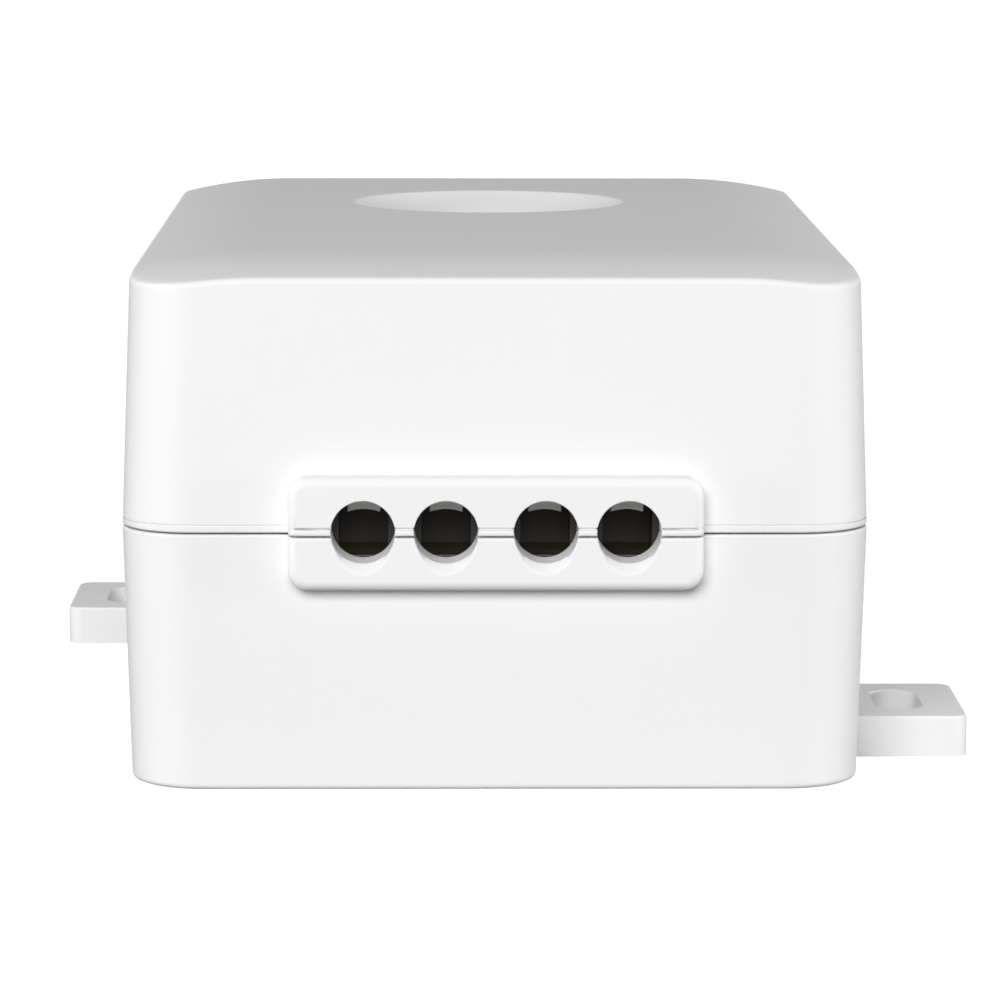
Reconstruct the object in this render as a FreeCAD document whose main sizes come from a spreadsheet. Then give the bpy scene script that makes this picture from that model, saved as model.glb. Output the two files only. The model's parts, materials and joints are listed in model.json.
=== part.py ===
import FreeCAD, Part
import math
import os

from FreeCAD import Placement, Rotation, Vector
from Sketcher import Constraint

# Touch switch for mains wiring: a two-shell plastic box with a round finger dish on top, a raised pad
# with four wire entries at the front, two slotted lugs at the foot, and the electronics inside.
# Frame: +Z up, the front faces -Y, the origin is the middle of the foot's rectangle on the floor.

doc = FreeCAD.newDocument("TouchSwitch")

# Driving sizes in millimetres and degrees: alias, value, meaning
SIZES = [
    ("case_width", 45.5, "box width at the parting line"),
    ("case_depth", 72.6, "box depth at the parting line"),
    ("case_height", 32.2, "box height"),
    ("parting_height", 15.75, "height of the parting line"),
    ("cover_draft", 1.95, "draft of the cover's sides, degrees"),
    ("base_draft", 1.6, "draft of the base's sides, degrees"),
    ("corner_radius", 4.4, "radius of the upright corners"),
    ("crown_reach", 7.9, "how far inside the walls the top starts to fall away"),
    ("crown_slope", 14.4, "slope of the top where it meets the walls, degrees"),
    ("top_bevel", 0.3, "bevel of the cover's top edge"),
    ("foot_bevel", 0.35, "bevel of the base's foot edge"),
    ("parting_bevel", 0.3, "bevel of both shells at the parting line"),
    ("wall", 1.6, "side wall thickness"),
    ("top_wall", 1.6, "cover's top thickness"),
    ("floor", 2.0, "base's floor thickness"),
    ("lip_height", 1.4, "height of the base's lip above the parting line"),
    ("lip_gap", 0.05, "clearance round the lip"),
    ("dish_radius", 9.3, "rim radius of the finger dish"),
    ("dish_depth", 2.4, "depth of the finger dish"),
    ("dish_slope", 32.0, "slope of the finger dish's side, degrees"),
    ("dish_setback", 8.7, "dish centre behind the middle of the box"),
    ("dish_flat", 5.2, "radius of the flat under the dish, for the electrode"),
    ("pad_width", 25.0, "entry pad width"),
    ("pad_above", 3.33, "entry pad above the wire axis"),
    ("pad_below", 3.53, "entry pad below the wire axis"),
    ("pad_proud", 1.4, "how far the entry pad stands out"),
    ("pad_corner", 1.2, "entry pad's outline corners"),
    ("pad_bevel", 0.45, "bevel of the entry pad's front edges"),
    ("entry_radius", 1.93, "wire entry radius"),
    ("entry_rise", 0.32, "wire axis above the parting line"),
    ("entry_lip", 0.6, "how far a wire entry's lower lip is cut down at the front"),
    ("entry_slope", 45.0, "slope of that lip, degrees"),
    ("pole_pitch", 5.0, "pitch of the two wires of a terminal block"),
    ("block_between", 1.0, "gap between the two terminal blocks"),
    ("lug_reach", 7.15, "how far a lug sticks out past the box"),
    ("lug_length", 11.25, "lug length along the box"),
    ("lug_setback", 10.4, "lug's near edge behind the box's front"),
    ("lug_thickness", 2.6, "lug thickness"),
    ("lug_corner", 1.0, "lug's outer corner radius"),
    ("slot_width", 3.1, "lug slot width"),
    ("slot_length", 6.8, "lug slot length"),
    ("slot_out", 3.1, "slot's middle line outside the box"),
    ("post_radius", 3.1, "wall of a case screw's corner boss, from the screw's axis"),
    ("post_inset", 5.0, "case screw axis inside the box's sides"),
    ("case_screw_radius", 1.4, "case screw shank radius"),
    ("case_screw_length", 15.0, "case screw length under the head"),
    ("case_head_radius", 2.5, "case screw head radius"),
    ("case_head_height", 1.7, "case screw head height"),
    ("counterbore_depth", 6.0, "depth of the case screw counterbore"),
    ("counterbore_gap", 0.25, "clearance round the case screw head"),
    ("screw_gap", 0.05, "clearance round a screw in its pilot hole"),
    ("shank_gap", 0.2, "clearance round the case screw in the base"),
    ("pilot_spare", 1.0, "pilot hole past the screw's tip"),
    ("wire_height", 4.6, "wire axis above the board"),
    ("board_thickness", 1.6, "circuit board thickness"),
    ("board_gap", 0.5, "clearance between the board and the walls"),
    ("notch_gap", 0.5, "clearance between the board and the corner bosses"),
    ("board_post_width", 4.0, "width of the square board posts"),
    ("board_post_edge", 3.15, "board post's middle inside the board's side edge"),
    ("board_post_end", 9.7, "board post's middle inside the board's end edge"),
    ("hook_width", 4.0, "snap hook width along the box"),
    ("hook_thickness", 1.4, "snap hook arm thickness"),
    ("hook_edge", 0.35, "snap hook arm inside the board's side edge"),
    ("hook_along", -6.0, "snap hook centre, along the box"),
    ("hook_nose", 0.7, "how far a snap hook's nose reaches over the board"),
    ("hook_nose_height", 1.6, "snap hook nose height"),
    ("hook_gap", 0.15, "clearance between a snap hook and the board"),
    ("block_depth", 8.0, "terminal block depth"),
    ("block_height", 10.8, "terminal block height"),
    ("block_gap", 0.3, "gap between the terminal blocks and the front wall"),
    ("block_front_wall", 0.8, "terminal block's front wall"),
    ("mouth_width", 3.0, "terminal mouth width"),
    ("mouth_height", 3.9, "terminal mouth height"),
    ("frame_width", 4.0, "contact frame outer width"),
    ("frame_depth", 4.6, "contact frame depth"),
    ("frame_sheet", 0.45, "contact frame side thickness"),
    ("frame_foot", 0.5, "contact frame bottom thickness"),
    ("frame_bar", 0.9, "contact frame threaded bar thickness"),
    ("frame_drop", 1.9, "frame's inner floor below the wire axis"),
    ("frame_rise", 1.75, "threaded bar above the wire axis"),
    ("chamber_gap", 0.05, "clearance between the frame and its chamber"),
    ("blade_width", 1.0, "solder blade width"),
    ("blade_thickness", 0.8, "solder blade thickness"),
    ("solder_length", 1.4, "solder pins below the board"),
    ("leaf_width", 2.05, "clamp leaf width"),
    ("leaf_depth", 4.0, "clamp leaf depth"),
    ("leaf_thickness", 0.6, "clamp leaf thickness"),
    ("leaf_rise", 0.85, "clamp leaf above the wire axis when open"),
    ("leaf_arch", 0.19, "arch of the clamp leaf's underside"),
    ("terminal_screw_radius", 1.25, "terminal screw shank radius"),
    ("terminal_head_radius", 1.85, "terminal screw head radius"),
    ("terminal_head_height", 1.1, "terminal screw head height"),
    ("terminal_travel", 2.1, "terminal screw travel"),
    ("shaft_gap", 0.15, "clearance round the terminal screw head"),
    ("drive_width", 0.6, "screwdriver slot width"),
    ("drive_depth", 0.6, "screwdriver slot depth"),
    ("drive_length", 2.4, "length of a screwdriver slot"),
    ("electrode_radius", 5.0, "touch electrode radius"),
    ("electrode_thickness", 0.5, "touch electrode thickness"),
    ("spring_radius", 2.4, "touch spring's middle radius"),
    ("spring_wire", 0.6, "touch spring's wire diameter"),
    ("pin_width", 0.8, "component pin width"),
    ("pin_thickness", 0.4, "component pin thickness"),
    ("pin_inset", 2.0, "component pins inside the edges of their part"),
    ("hole_gap", 0.15, "clearance round a pin in the board"),
    ("moulded_bevel", 0.6, "bevel of the relay's and the power module's upright edges"),
    ("film_bevel", 0.5, "bevel of the suppression capacitor's upright edges"),
    ("relay_width", 15.5, "relay width"),
    ("relay_length", 19.0, "relay length"),
    ("relay_height", 15.3, "relay height"),
    ("relay_side", -8.4, "relay centre, sideways"),
    ("relay_along", -12.5, "relay centre, along the box"),
    ("power_width", 14.0, "power module width"),
    ("power_length", 20.0, "power module length"),
    ("power_height", 11.5, "power module height"),
    ("power_side", 8.3, "power module centre, sideways"),
    ("power_along", -12.2, "power module centre, along the box"),
    ("film_width", 13.0, "suppression capacitor width"),
    ("film_length", 6.0, "suppression capacitor length"),
    ("film_height", 12.0, "suppression capacitor height"),
    ("film_side", -12.6, "suppression capacitor centre, sideways"),
    ("film_along", 15.2, "suppression capacitor centre, along the box"),
    ("varistor_radius", 4.0, "varistor disc radius"),
    ("varistor_thickness", 3.6, "varistor thickness"),
    ("varistor_lift", 1.2, "varistor disc above the board"),
    ("varistor_side", -14.0, "varistor centre, sideways"),
    ("varistor_along", 9.6, "varistor centre, along the box"),
    ("fuse_radius", 4.2, "fuse radius"),
    ("fuse_height", 8.0, "fuse height"),
    ("fuse_side", -13.4, "fuse centre, sideways"),
    ("fuse_along", 2.2, "fuse centre, along the box"),
    ("bulk_radius", 3.15, "bulk capacitor radius"),
    ("bulk_height", 11.0, "bulk capacitor height"),
    ("bulk_side", 16.2, "bulk capacitor centre, sideways"),
    ("bulk_along", 2.4, "bulk capacitor centre, along the box"),
    ("radio_width", 10.4, "radio board width"),
    ("radio_length", 16.5, "radio board length"),
    ("radio_thickness", 0.8, "radio board thickness"),
    ("radio_gap", 0.65, "gap between the radio board and the corner boss"),
    ("radio_inset", 1.5, "radio board inside the circuit board's back end"),
    ("shield_width", 9.4, "radio shield width"),
    ("shield_length", 10.5, "radio shield length"),
    ("shield_height", 2.2, "radio shield height"),
    ("shield_inset", 0.8, "radio shield inside the radio board's front end"),
    ("chip_width", 3.9, "touch chip width"),
    ("chip_length", 4.9, "touch chip length"),
    ("chip_height", 1.5, "touch chip height"),
    ("chip_side", -4.0, "touch chip centre, sideways"),
    ("chip_end", 11.9, "touch chip centre inside the circuit board's back end"),
]

# Places and sizes that follow from the driving sizes: alias, formula
PLACES = [
    ("entry_height", "Sizes.parting_height + Sizes.entry_rise"),
    ("board_top", "Sizes.parting_height + Sizes.entry_rise - Sizes.wire_height"),
    ("board_bottom", "Sizes.parting_height + Sizes.entry_rise - Sizes.wire_height - Sizes.board_thickness"),
    ("half_width", "Sizes.case_width / 2"),
    ("half_depth", "Sizes.case_depth / 2"),
    ("cover_rise", "Sizes.case_height - Sizes.parting_height"),
    ("top_inset", "(Sizes.case_height - Sizes.parting_height) * tan(Sizes.cover_draft * 1deg)"),
    ("crown_radius", "Sizes.crown_reach / sin(Sizes.crown_slope * 1deg)"),
    ("block_spacing", "2 * Sizes.pole_pitch + Sizes.block_between"),
    ("chip_along", "Sizes.case_depth / 2 - Sizes.wall - Sizes.board_gap - Sizes.chip_end"),
    ("ceiling", "Sizes.case_height - Sizes.top_wall"),
    ("lip_inset", "Sizes.wall / 2"),
    ("post_side", "Sizes.case_width / 2 - Sizes.post_inset"),
    ("post_along", "Sizes.case_depth / 2 - Sizes.post_inset"),
    ("board_side", "Sizes.case_width / 2 - Sizes.wall - Sizes.board_gap"),
    ("board_end", "Sizes.case_depth / 2 - Sizes.wall - Sizes.board_gap"),
    ("board_post_side", "Sizes.case_width / 2 - Sizes.wall - Sizes.board_gap - Sizes.board_post_edge"),
    ("board_post_along", "Sizes.case_depth / 2 - Sizes.wall - Sizes.board_gap - Sizes.board_post_end"),
    ("radio_side", "Sizes.case_width / 2 - Sizes.post_inset - Sizes.post_radius - Sizes.radio_gap"
                   " - Sizes.radio_width / 2"),
    ("radio_along", "Sizes.case_depth / 2 - Sizes.wall - Sizes.board_gap - Sizes.radio_inset"
                    " - Sizes.radio_length / 2"),
    ("dish_floor", "Sizes.dish_radius - Sizes.dish_depth / tan(Sizes.dish_slope * 1deg)"),
    ("block_front", "-(Sizes.case_depth / 2 - Sizes.wall - Sizes.block_gap)"),
    ("lug_middle", "-(Sizes.case_depth / 2 - Sizes.lug_setback - Sizes.lug_length / 2)"),
]


def make_sheet(name, rows):
    sheet = doc.addObject("Spreadsheet::Sheet", name)
    for number, row in enumerate(rows, start=1):
        alias, content = row[0], row[1]
        text = f"={content}" if isinstance(content, str) else str(content)
        sheet.set(f"A{number}", alias)
        sheet.set(f"B{number}", text)
        sheet.setAlias(f"B{number}", alias)
        if len(row) > 2:
            sheet.set(f"C{number}", row[2])
    doc.recompute()
    return sheet


sizes = make_sheet("Sizes", SIZES)
places = make_sheet("Places", PLACES)


def value(formula):
    """The number that a formula of the sheets gives."""
    result = sizes.evalExpression(str(formula))
    return float(getattr(result, "Value", result))


def bind(item, **formulas):
    """Ties properties of an object to formulas of the sheets."""
    for name, formula in formulas.items():
        item.setExpression(name, str(formula))
    return item


def place(item, x="0", y="0", z="0"):
    for axis, formula in zip("xyz", (x, y, z)):
        item.setExpression(f"Placement.Base.{axis}", str(formula))
    return item


# Solids from primitives


def block(name, width, length, height, x="0", y="0", z="0"):
    """A box centred on x and y that stands on z."""
    box = bind(doc.addObject("Part::Box", name), Length=width, Width=length, Height=height)
    return place(box, f"{x} - ({width}) / 2", f"{y} - ({length}) / 2", z)


def rod(name, radius, height, x="0", y="0", z="0"):
    """An upright cylinder that stands on z."""
    cylinder = bind(doc.addObject("Part::Cylinder", name), Radius=radius, Height=height)
    return place(cylinder, x, y, z)


def rod_along(name, radius, length, x, y, z, slope=0.0):
    """A cylinder that runs towards +Y from y, sloping up by slope degrees."""
    cylinder = doc.addObject("Part::Cylinder", name)
    cylinder.Placement = Placement(Vector(), Rotation(Vector(1, 0, 0), -90 + slope))
    bind(cylinder, Radius=radius, Height=length)
    return place(cylinder, x, y, z)


def cone(name, low_radius, high_radius, height, x, y, z):
    shape = bind(doc.addObject("Part::Cone", name), Radius1=low_radius, Radius2=high_radius, Height=height)
    return place(shape, x, y, z)


def fuse(name, *items):
    joined = doc.addObject("Part::MultiFuse", name)
    joined.Shapes = list(items)
    joined.Refine = True
    return joined


def cut(name, body, *tools):
    result = doc.addObject("Part::Cut", name)
    result.Base = body
    result.Tool = tools[0] if len(tools) == 1 else fuse(f"{name}_tools", *tools)
    result.Refine = True
    return result


def group(name, *items):
    """Several separate solids that share one node."""
    compound = doc.addObject("Part::Compound", name)
    compound.Links = list(items)
    return compound


def dress(kind, name, body, amount, wanted):
    """A Part fillet or chamfer of this amount on the edges that wanted(edge) picks."""
    doc.recompute()
    picked = [number for number, edge in enumerate(body.Shape.Edges, start=1) if wanted(edge)]
    if not picked:
        raise RuntimeError(f"{name}: no edge to dress")
    result = doc.addObject(kind, name)
    result.Base = body
    result.Edges = [(number, value(amount), value(amount)) for number in picked]
    return result


def round_edges(name, body, radius, wanted):
    return dress("Part::Fillet", name, body, radius, wanted)


def bevel_edges(name, body, size, wanted):
    return dress("Part::Chamfer", name, body, size, wanted)


def lies_at_height(formula):
    """Picks the edges that lie flat at this height."""
    height = value(formula)

    def wanted(edge):
        box = edge.BoundBox
        return abs(box.ZMin - height) < 1e-4 and abs(box.ZMax - height) < 1e-4

    return wanted


def is_upright(edge):
    box = edge.BoundBox
    return box.ZLength > 1e-3 and box.XLength < 1e-4 and box.YLength < 1e-4


# Sketches


def rounded_rectangle(sketch, width, depth, radius):
    """Draws a rounded rectangle about the sketch's origin, tied to formulas of the sheets."""
    w, d, r = value(width) / 2, value(depth) / 2, value(radius)
    corners = [(w - r, -d + r), (w - r, d - r), (-w + r, d - r), (-w + r, -d + r)]
    lines = [
        ((-w + r, -d), (w - r, -d)),
        ((w, -d + r), (w, d - r)),
        ((w - r, d), (-w + r, d)),
        ((-w, d - r), (-w, -d + r)),
    ]
    for start, end in lines:
        sketch.addGeometry(Part.LineSegment(Vector(*start, 0), Vector(*end, 0)), False)
    for turn, (x, y) in enumerate(corners):
        circle = Part.Circle(Vector(x, y, 0), Vector(0, 0, 1), r)
        start = -math.pi / 2 + turn * math.pi / 2
        sketch.addGeometry(Part.ArcOfCircle(circle, start, start + math.pi / 2), False)
    for side in range(4):
        arc = 4 + side
        sketch.addConstraint(Constraint("Tangent", side, 2, arc, 1))
        sketch.addConstraint(Constraint("Tangent", arc, 2, (side + 1) % 4, 1))
    sketch.addConstraint(Constraint("Horizontal", 0))
    sketch.addConstraint(Constraint("Horizontal", 2))
    sketch.addConstraint(Constraint("Vertical", 1))
    sketch.addConstraint(Constraint("Vertical", 3))
    for arc in (5, 6, 7):
        sketch.addConstraint(Constraint("Equal", 4, arc))
    sketch.addConstraint(Constraint("Symmetric", 0, 1, 2, 1, -1, 1))
    driven = [
        ("width", Constraint("DistanceX", 3, 2, 1, 1, 2 * w), width),
        ("depth", Constraint("DistanceY", 0, 1, 2, 2, 2 * d), depth),
        ("radius", Constraint("Radius", 4, r), radius),
    ]
    for name, constraint, formula in driven:
        sketch.renameConstraint(sketch.addConstraint(constraint), name)
        sketch.setExpression(f"Constraints.{name}", formula)
    return sketch


def case_outline(name, inset, z, corner=None):
    """The box's outline, inset from its sides, at height z; the corners follow the inset unless given."""
    sketch = doc.addObject("Sketcher::SketchObject", name)
    rounded_rectangle(
        sketch,
        f"Sizes.case_width - 2 * ({inset})",
        f"Sizes.case_depth - 2 * ({inset})",
        corner or f"Sizes.corner_radius - ({inset})",
    )
    return place(sketch, z=z)


def extrude(name, sketch, length):
    """An upright solid from a sketch."""
    solid = doc.addObject("Part::Extrusion", name)
    solid.Base = sketch
    solid.DirMode = "Custom"
    solid.Dir = Vector(0, 0, 1)
    solid.Solid = True
    return bind(solid, LengthFwd=length)


def drafted_box(name, inset, height, draft, up):
    """A rounded box that narrows by its draft as it goes up or down from the parting line."""
    wedge = doc.addObject("Part::Wedge", f"{name}_wedge")
    wedge.Placement = Placement(Vector(), Rotation(Vector(1, 0, 0), 90 if up else -90))
    half_x, half_y = f"(Places.half_width - ({inset}))", f"(Places.half_depth - ({inset}))"
    draw_in = f"({height}) * tan({draft} * 1deg)"
    bind(
        wedge, Ymin="0", Ymax=height,
        Xmin=f"-{half_x}", Xmax=half_x, Zmin=f"-{half_y}", Zmax=half_y,
        X2min=f"-({half_x} - {draw_in})", X2max=f"{half_x} - {draw_in}",
        Z2min=f"-({half_y} - {draw_in})", Z2max=f"{half_y} - {draw_in}",
    )
    place(wedge, z="Sizes.parting_height")
    least = value(height) / 2
    return round_edges(
        name, wedge, f"Sizes.corner_radius - ({inset})", lambda edge: edge.BoundBox.ZLength > least,
    )


# Places of what repeats

SIDES = (-1, 1)
CORNERS = [(side, along) for side in SIDES for along in SIDES]
CASE_SCREW_CORNERS = [(-1, -1), (1, 1)]


def pole_places():
    """Number, side formula of each wire's axis, from left to right."""
    poles = []
    for block_side in SIDES:
        for pole_side in SIDES:
            formula = f"{block_side} * Places.block_spacing / 2 + {pole_side} * Sizes.pole_pitch / 2"
            poles.append((len(poles) + 1, formula))
    return poles


POLES = pole_places()


def entry_cutters(prefix):
    """The straight bores of the four wire entries."""
    length = "Sizes.pad_proud + Sizes.wall * 2"
    start = "-(Places.half_depth + Sizes.pad_proud)"
    cutters = []
    for number, x in POLES:
        cutters.append(rod_along(
            f"{prefix}_bore_{number}", "Sizes.entry_radius", length, x, start, "Places.entry_height",
        ))
    return cutters


def entry_pad(name, upper):
    """Half of the raised pad round the wire entries, above or below the parting line."""
    height = "Sizes.pad_above + Sizes.entry_rise" if upper else "Sizes.pad_below - Sizes.entry_rise"
    bottom = "Sizes.parting_height" if upper else f"Sizes.parting_height - ({height})"
    depth = "Sizes.pad_proud + Sizes.wall / 2"
    middle = f"-(Places.half_depth + Sizes.pad_proud) + ({depth}) / 2"
    plain = block(f"{name}_block", "Sizes.pad_width", depth, height, y=middle, z=bottom)
    front = -(value("Places.half_depth") + value("Sizes.pad_proud"))
    outer = value("Places.entry_height") + (value("Sizes.pad_above") if upper else -value("Sizes.pad_below"))
    parting = value("Sizes.parting_height")

    def is_outline_corner(edge):
        box = edge.BoundBox
        return box.YLength > 0.1 and abs(box.ZMin - outer) < 1e-4 and box.XLength < 1e-4

    cornered = round_edges(f"{name}_corners", plain, "Sizes.pad_corner", is_outline_corner)

    def is_front_edge(edge):
        box = edge.BoundBox
        on_front = abs(box.YMin - front) < 1e-4 and abs(box.YMax - front) < 1e-4
        at_parting = abs(box.ZMin - parting) < 1e-4 and abs(box.ZMax - parting) < 1e-4
        return on_front and not at_parting

    bevelled = bevel_edges(f"{name}_front", cornered, "Sizes.pad_bevel", is_front_edge)
    shell_back = value(f"-(Places.half_depth + Sizes.pad_proud) + ({depth})")

    def is_parting_edge(edge):
        box = edge.BoundBox
        at_parting = abs(box.ZMin - parting) < 1e-4 and abs(box.ZMax - parting) < 1e-4
        return at_parting and abs(box.YMin - shell_back) > 1e-3

    return bevel_edges(name, bevelled, "Sizes.parting_bevel", is_parting_edge)


# Shells


def corner_bosses(prefix, bottom, height):
    """The two corner blocks that the case screws run in, rounded inside and at the box's corner."""
    across = "(Sizes.post_inset + Sizes.post_radius - Sizes.wall / 2)"
    shift = "(Sizes.post_inset - Sizes.post_radius - Sizes.wall / 2) / 2"
    bosses = []
    for number, (side, along) in enumerate(CASE_SCREW_CORNERS, start=1):
        plain = block(
            f"{prefix}_boss_block_{number}", across, across, height,
            f"{side} * (Places.post_side + {shift})", f"{along} * (Places.post_along + {shift})", bottom,
        )

        def is_corner(inset):
            x = side * (value("Places.half_width") - value(inset))
            y = along * (value("Places.half_depth") - value(inset))

            def wanted(edge):
                box = edge.BoundBox
                return is_upright(edge) and abs(box.XMin - x) < 1e-4 and abs(box.YMin - y) < 1e-4

            return wanted

        inner = round_edges(
            f"{prefix}_boss_inside_{number}", plain, "Sizes.post_radius",
            is_corner("Sizes.post_inset + Sizes.post_radius"),
        )
        bosses.append(round_edges(
            f"{prefix}_boss_{number}", inner, "Sizes.corner_radius - Sizes.wall / 2",
            is_corner("Sizes.wall / 2"),
        ))
    return bosses


def make_crown():
    """A wider box with a large round along its top, whose middle gives the cover its crowned top."""
    outward = "Places.top_inset + Sizes.crown_reach - Places.crown_radius"
    outline = case_outline(
        "crown_outline", outward, "Sizes.case_height - Places.crown_radius - Sizes.wall",
        corner="Places.crown_radius",
    )
    slab = extrude("crown_slab", outline, "Places.crown_radius + Sizes.wall")
    return round_edges("crown", slab, "Places.crown_radius", lies_at_height("Sizes.case_height"))


def make_top_cover():
    blank = drafted_box("cover_blank", "0", "Places.cover_rise", "Sizes.cover_draft", up=True)
    crowned = doc.addObject("Part::Common", "cover_crowned")
    crowned.Base = blank
    crowned.Tool = make_crown()
    doc.recompute()
    middle = value("Sizes.parting_height + Places.cover_rise / 2")
    wall_edges = [edge for face in crowned.Shape.Faces if face.BoundBox.ZMin < middle for edge in face.Edges]

    def is_top_edge(edge):
        return edge.BoundBox.ZMin > middle and any(edge.isSame(other) for other in wall_edges)

    topped = bevel_edges("cover_top", crowned, "Sizes.top_bevel", is_top_edge)
    at_parting = lies_at_height("Sizes.parting_height")
    bevelled = bevel_edges("cover_bevel", topped, "Sizes.parting_bevel", at_parting)
    outside = fuse("cover_outside", bevelled, entry_pad("cover_pad", upper=True))
    cavity_height = "Places.cover_rise - Sizes.top_wall"
    cavity = drafted_box("cover_cavity", "Sizes.wall", cavity_height, "Sizes.cover_draft", up=True)
    shell = cut("cover_shell", outside, cavity)

    dish_bottom = "Places.ceiling - Sizes.dish_depth"
    under_dish = cone(
        "under_dish", "Sizes.dish_flat", "Sizes.dish_radius + Sizes.top_wall",
        "Sizes.dish_depth + Sizes.top_wall / 2", "0", "Sizes.dish_setback", dish_bottom,
    )
    bosses = corner_bosses("cover", "Sizes.parting_height", "Places.cover_rise - Sizes.top_wall * 7 / 8")
    solid = fuse("cover_solid", shell, under_dish, *bosses)

    dish = cone(
        "dish_cutter", "Places.dish_floor", "2 * Sizes.dish_radius - Places.dish_floor",
        "2 * Sizes.dish_depth", "0", "Sizes.dish_setback", "Sizes.case_height - Sizes.dish_depth",
    )
    lip_room = extrude(
        "lip_room", case_outline("lip_room_outline", "Places.lip_inset", "Sizes.parting_height"),
        "Sizes.lip_height + Sizes.lip_gap",
    )
    lip_core = extrude(
        "lip_core", case_outline("lip_core_outline", "Sizes.wall + Sizes.lip_gap", "Sizes.parting_height"),
        "Sizes.lip_height + Sizes.lip_gap",
    )
    lip_ring = cut("lip_recess", lip_room, lip_core, lip_break("cover_lip_break", "Sizes.lip_gap"))
    pilot_depth = (
        "Sizes.counterbore_depth + Sizes.case_screw_length + Sizes.pilot_spare - Sizes.parting_height"
    )
    pilots = [
        rod(f"pilot_{number}", "Sizes.case_screw_radius + Sizes.screw_gap", pilot_depth,
            f"{side} * Places.post_side", f"{along} * Places.post_along", "Sizes.parting_height")
        for number, (side, along) in enumerate(CASE_SCREW_CORNERS, start=1)
    ]
    return cut("top_cover", solid, dish, lip_ring, *pilots, *entry_cutters("cover_entry"))


def lip_break(name, spare):
    """Where the lip stops, behind the entry pad."""
    width = f"Sizes.pad_width - 2 * ({spare})"
    return block(
        name, width, "Sizes.wall * 4", "Sizes.lip_height * 3",
        y="-Places.half_depth", z="Sizes.parting_height - Sizes.lip_height",
    )


def make_lug(name, side):
    """One slotted lug: on the right near the front, on the left near the back."""
    overlap = "Sizes.wall"
    width = f"Sizes.lug_reach + {overlap}"
    x = f"{side} * (Places.half_width + (Sizes.lug_reach - {overlap}) / 2)"
    y = f"{side} * Places.lug_middle"
    plate = block(f"{name}_plate", width, "Sizes.lug_length", "Sizes.lug_thickness", x, y)
    tip = side * (value("Places.half_width") + value("Sizes.lug_reach"))

    def is_tip_corner(edge):
        return is_upright(edge) and abs(edge.BoundBox.XMin - tip) < 1e-4

    return round_edges(name, plate, "Sizes.lug_corner", is_tip_corner)


def make_slot(name, side):
    """The cutter of a lug's slot, which runs along the box."""
    x = f"{side} * (Places.half_width + Sizes.slot_out)"
    y = f"{side} * Places.lug_middle"
    straight = "Sizes.slot_length - Sizes.slot_width"
    ends = [
        rod(f"{name}_end_{end}", "Sizes.slot_width / 2", "Sizes.lug_thickness",
            x, f"{y} + {end} * ({straight}) / 2")
        for end in SIDES
    ]
    middle = block(f"{name}_middle", "Sizes.slot_width", straight, "Sizes.lug_thickness", x, y)
    return fuse(name, middle, *ends)


def make_hook(name, side):
    """A snap hook: an upright arm beside the board with a sloping nose over the board's edge."""
    arm_middle = "(Places.board_side - Sizes.hook_edge - Sizes.hook_thickness / 2)"
    top = "(Places.board_top + Sizes.hook_gap + Sizes.hook_nose_height)"
    arm = block(
        f"{name}_arm", "Sizes.hook_thickness", "Sizes.hook_width", f"{top} - Sizes.floor / 2",
        f"{side} * {arm_middle}", "Sizes.hook_along", "Sizes.floor / 2",
    )
    nose = doc.addObject("Part::Wedge", f"{name}_nose")
    inward = Rotation(Vector(0, 0, 1), 0 if side > 0 else 180)
    nose.Placement = Placement(Vector(), inward * Rotation(90, 0, 90))
    bind(
        nose, Ymin="0", Ymax="Sizes.hook_nose_height",
        Xmin="-Sizes.hook_width / 2", Xmax="Sizes.hook_width / 2",
        X2min="-Sizes.hook_width / 2", X2max="Sizes.hook_width / 2",
        Zmin="-(Sizes.hook_nose + Sizes.hook_thickness / 2)", Zmax="0",
        Z2min="-Sizes.hook_thickness / 2", Z2max="0",
    )
    place(nose, f"{side} * {arm_middle}", "Sizes.hook_along", "Places.board_top + Sizes.hook_gap")
    return fuse(name, arm, nose)


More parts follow.
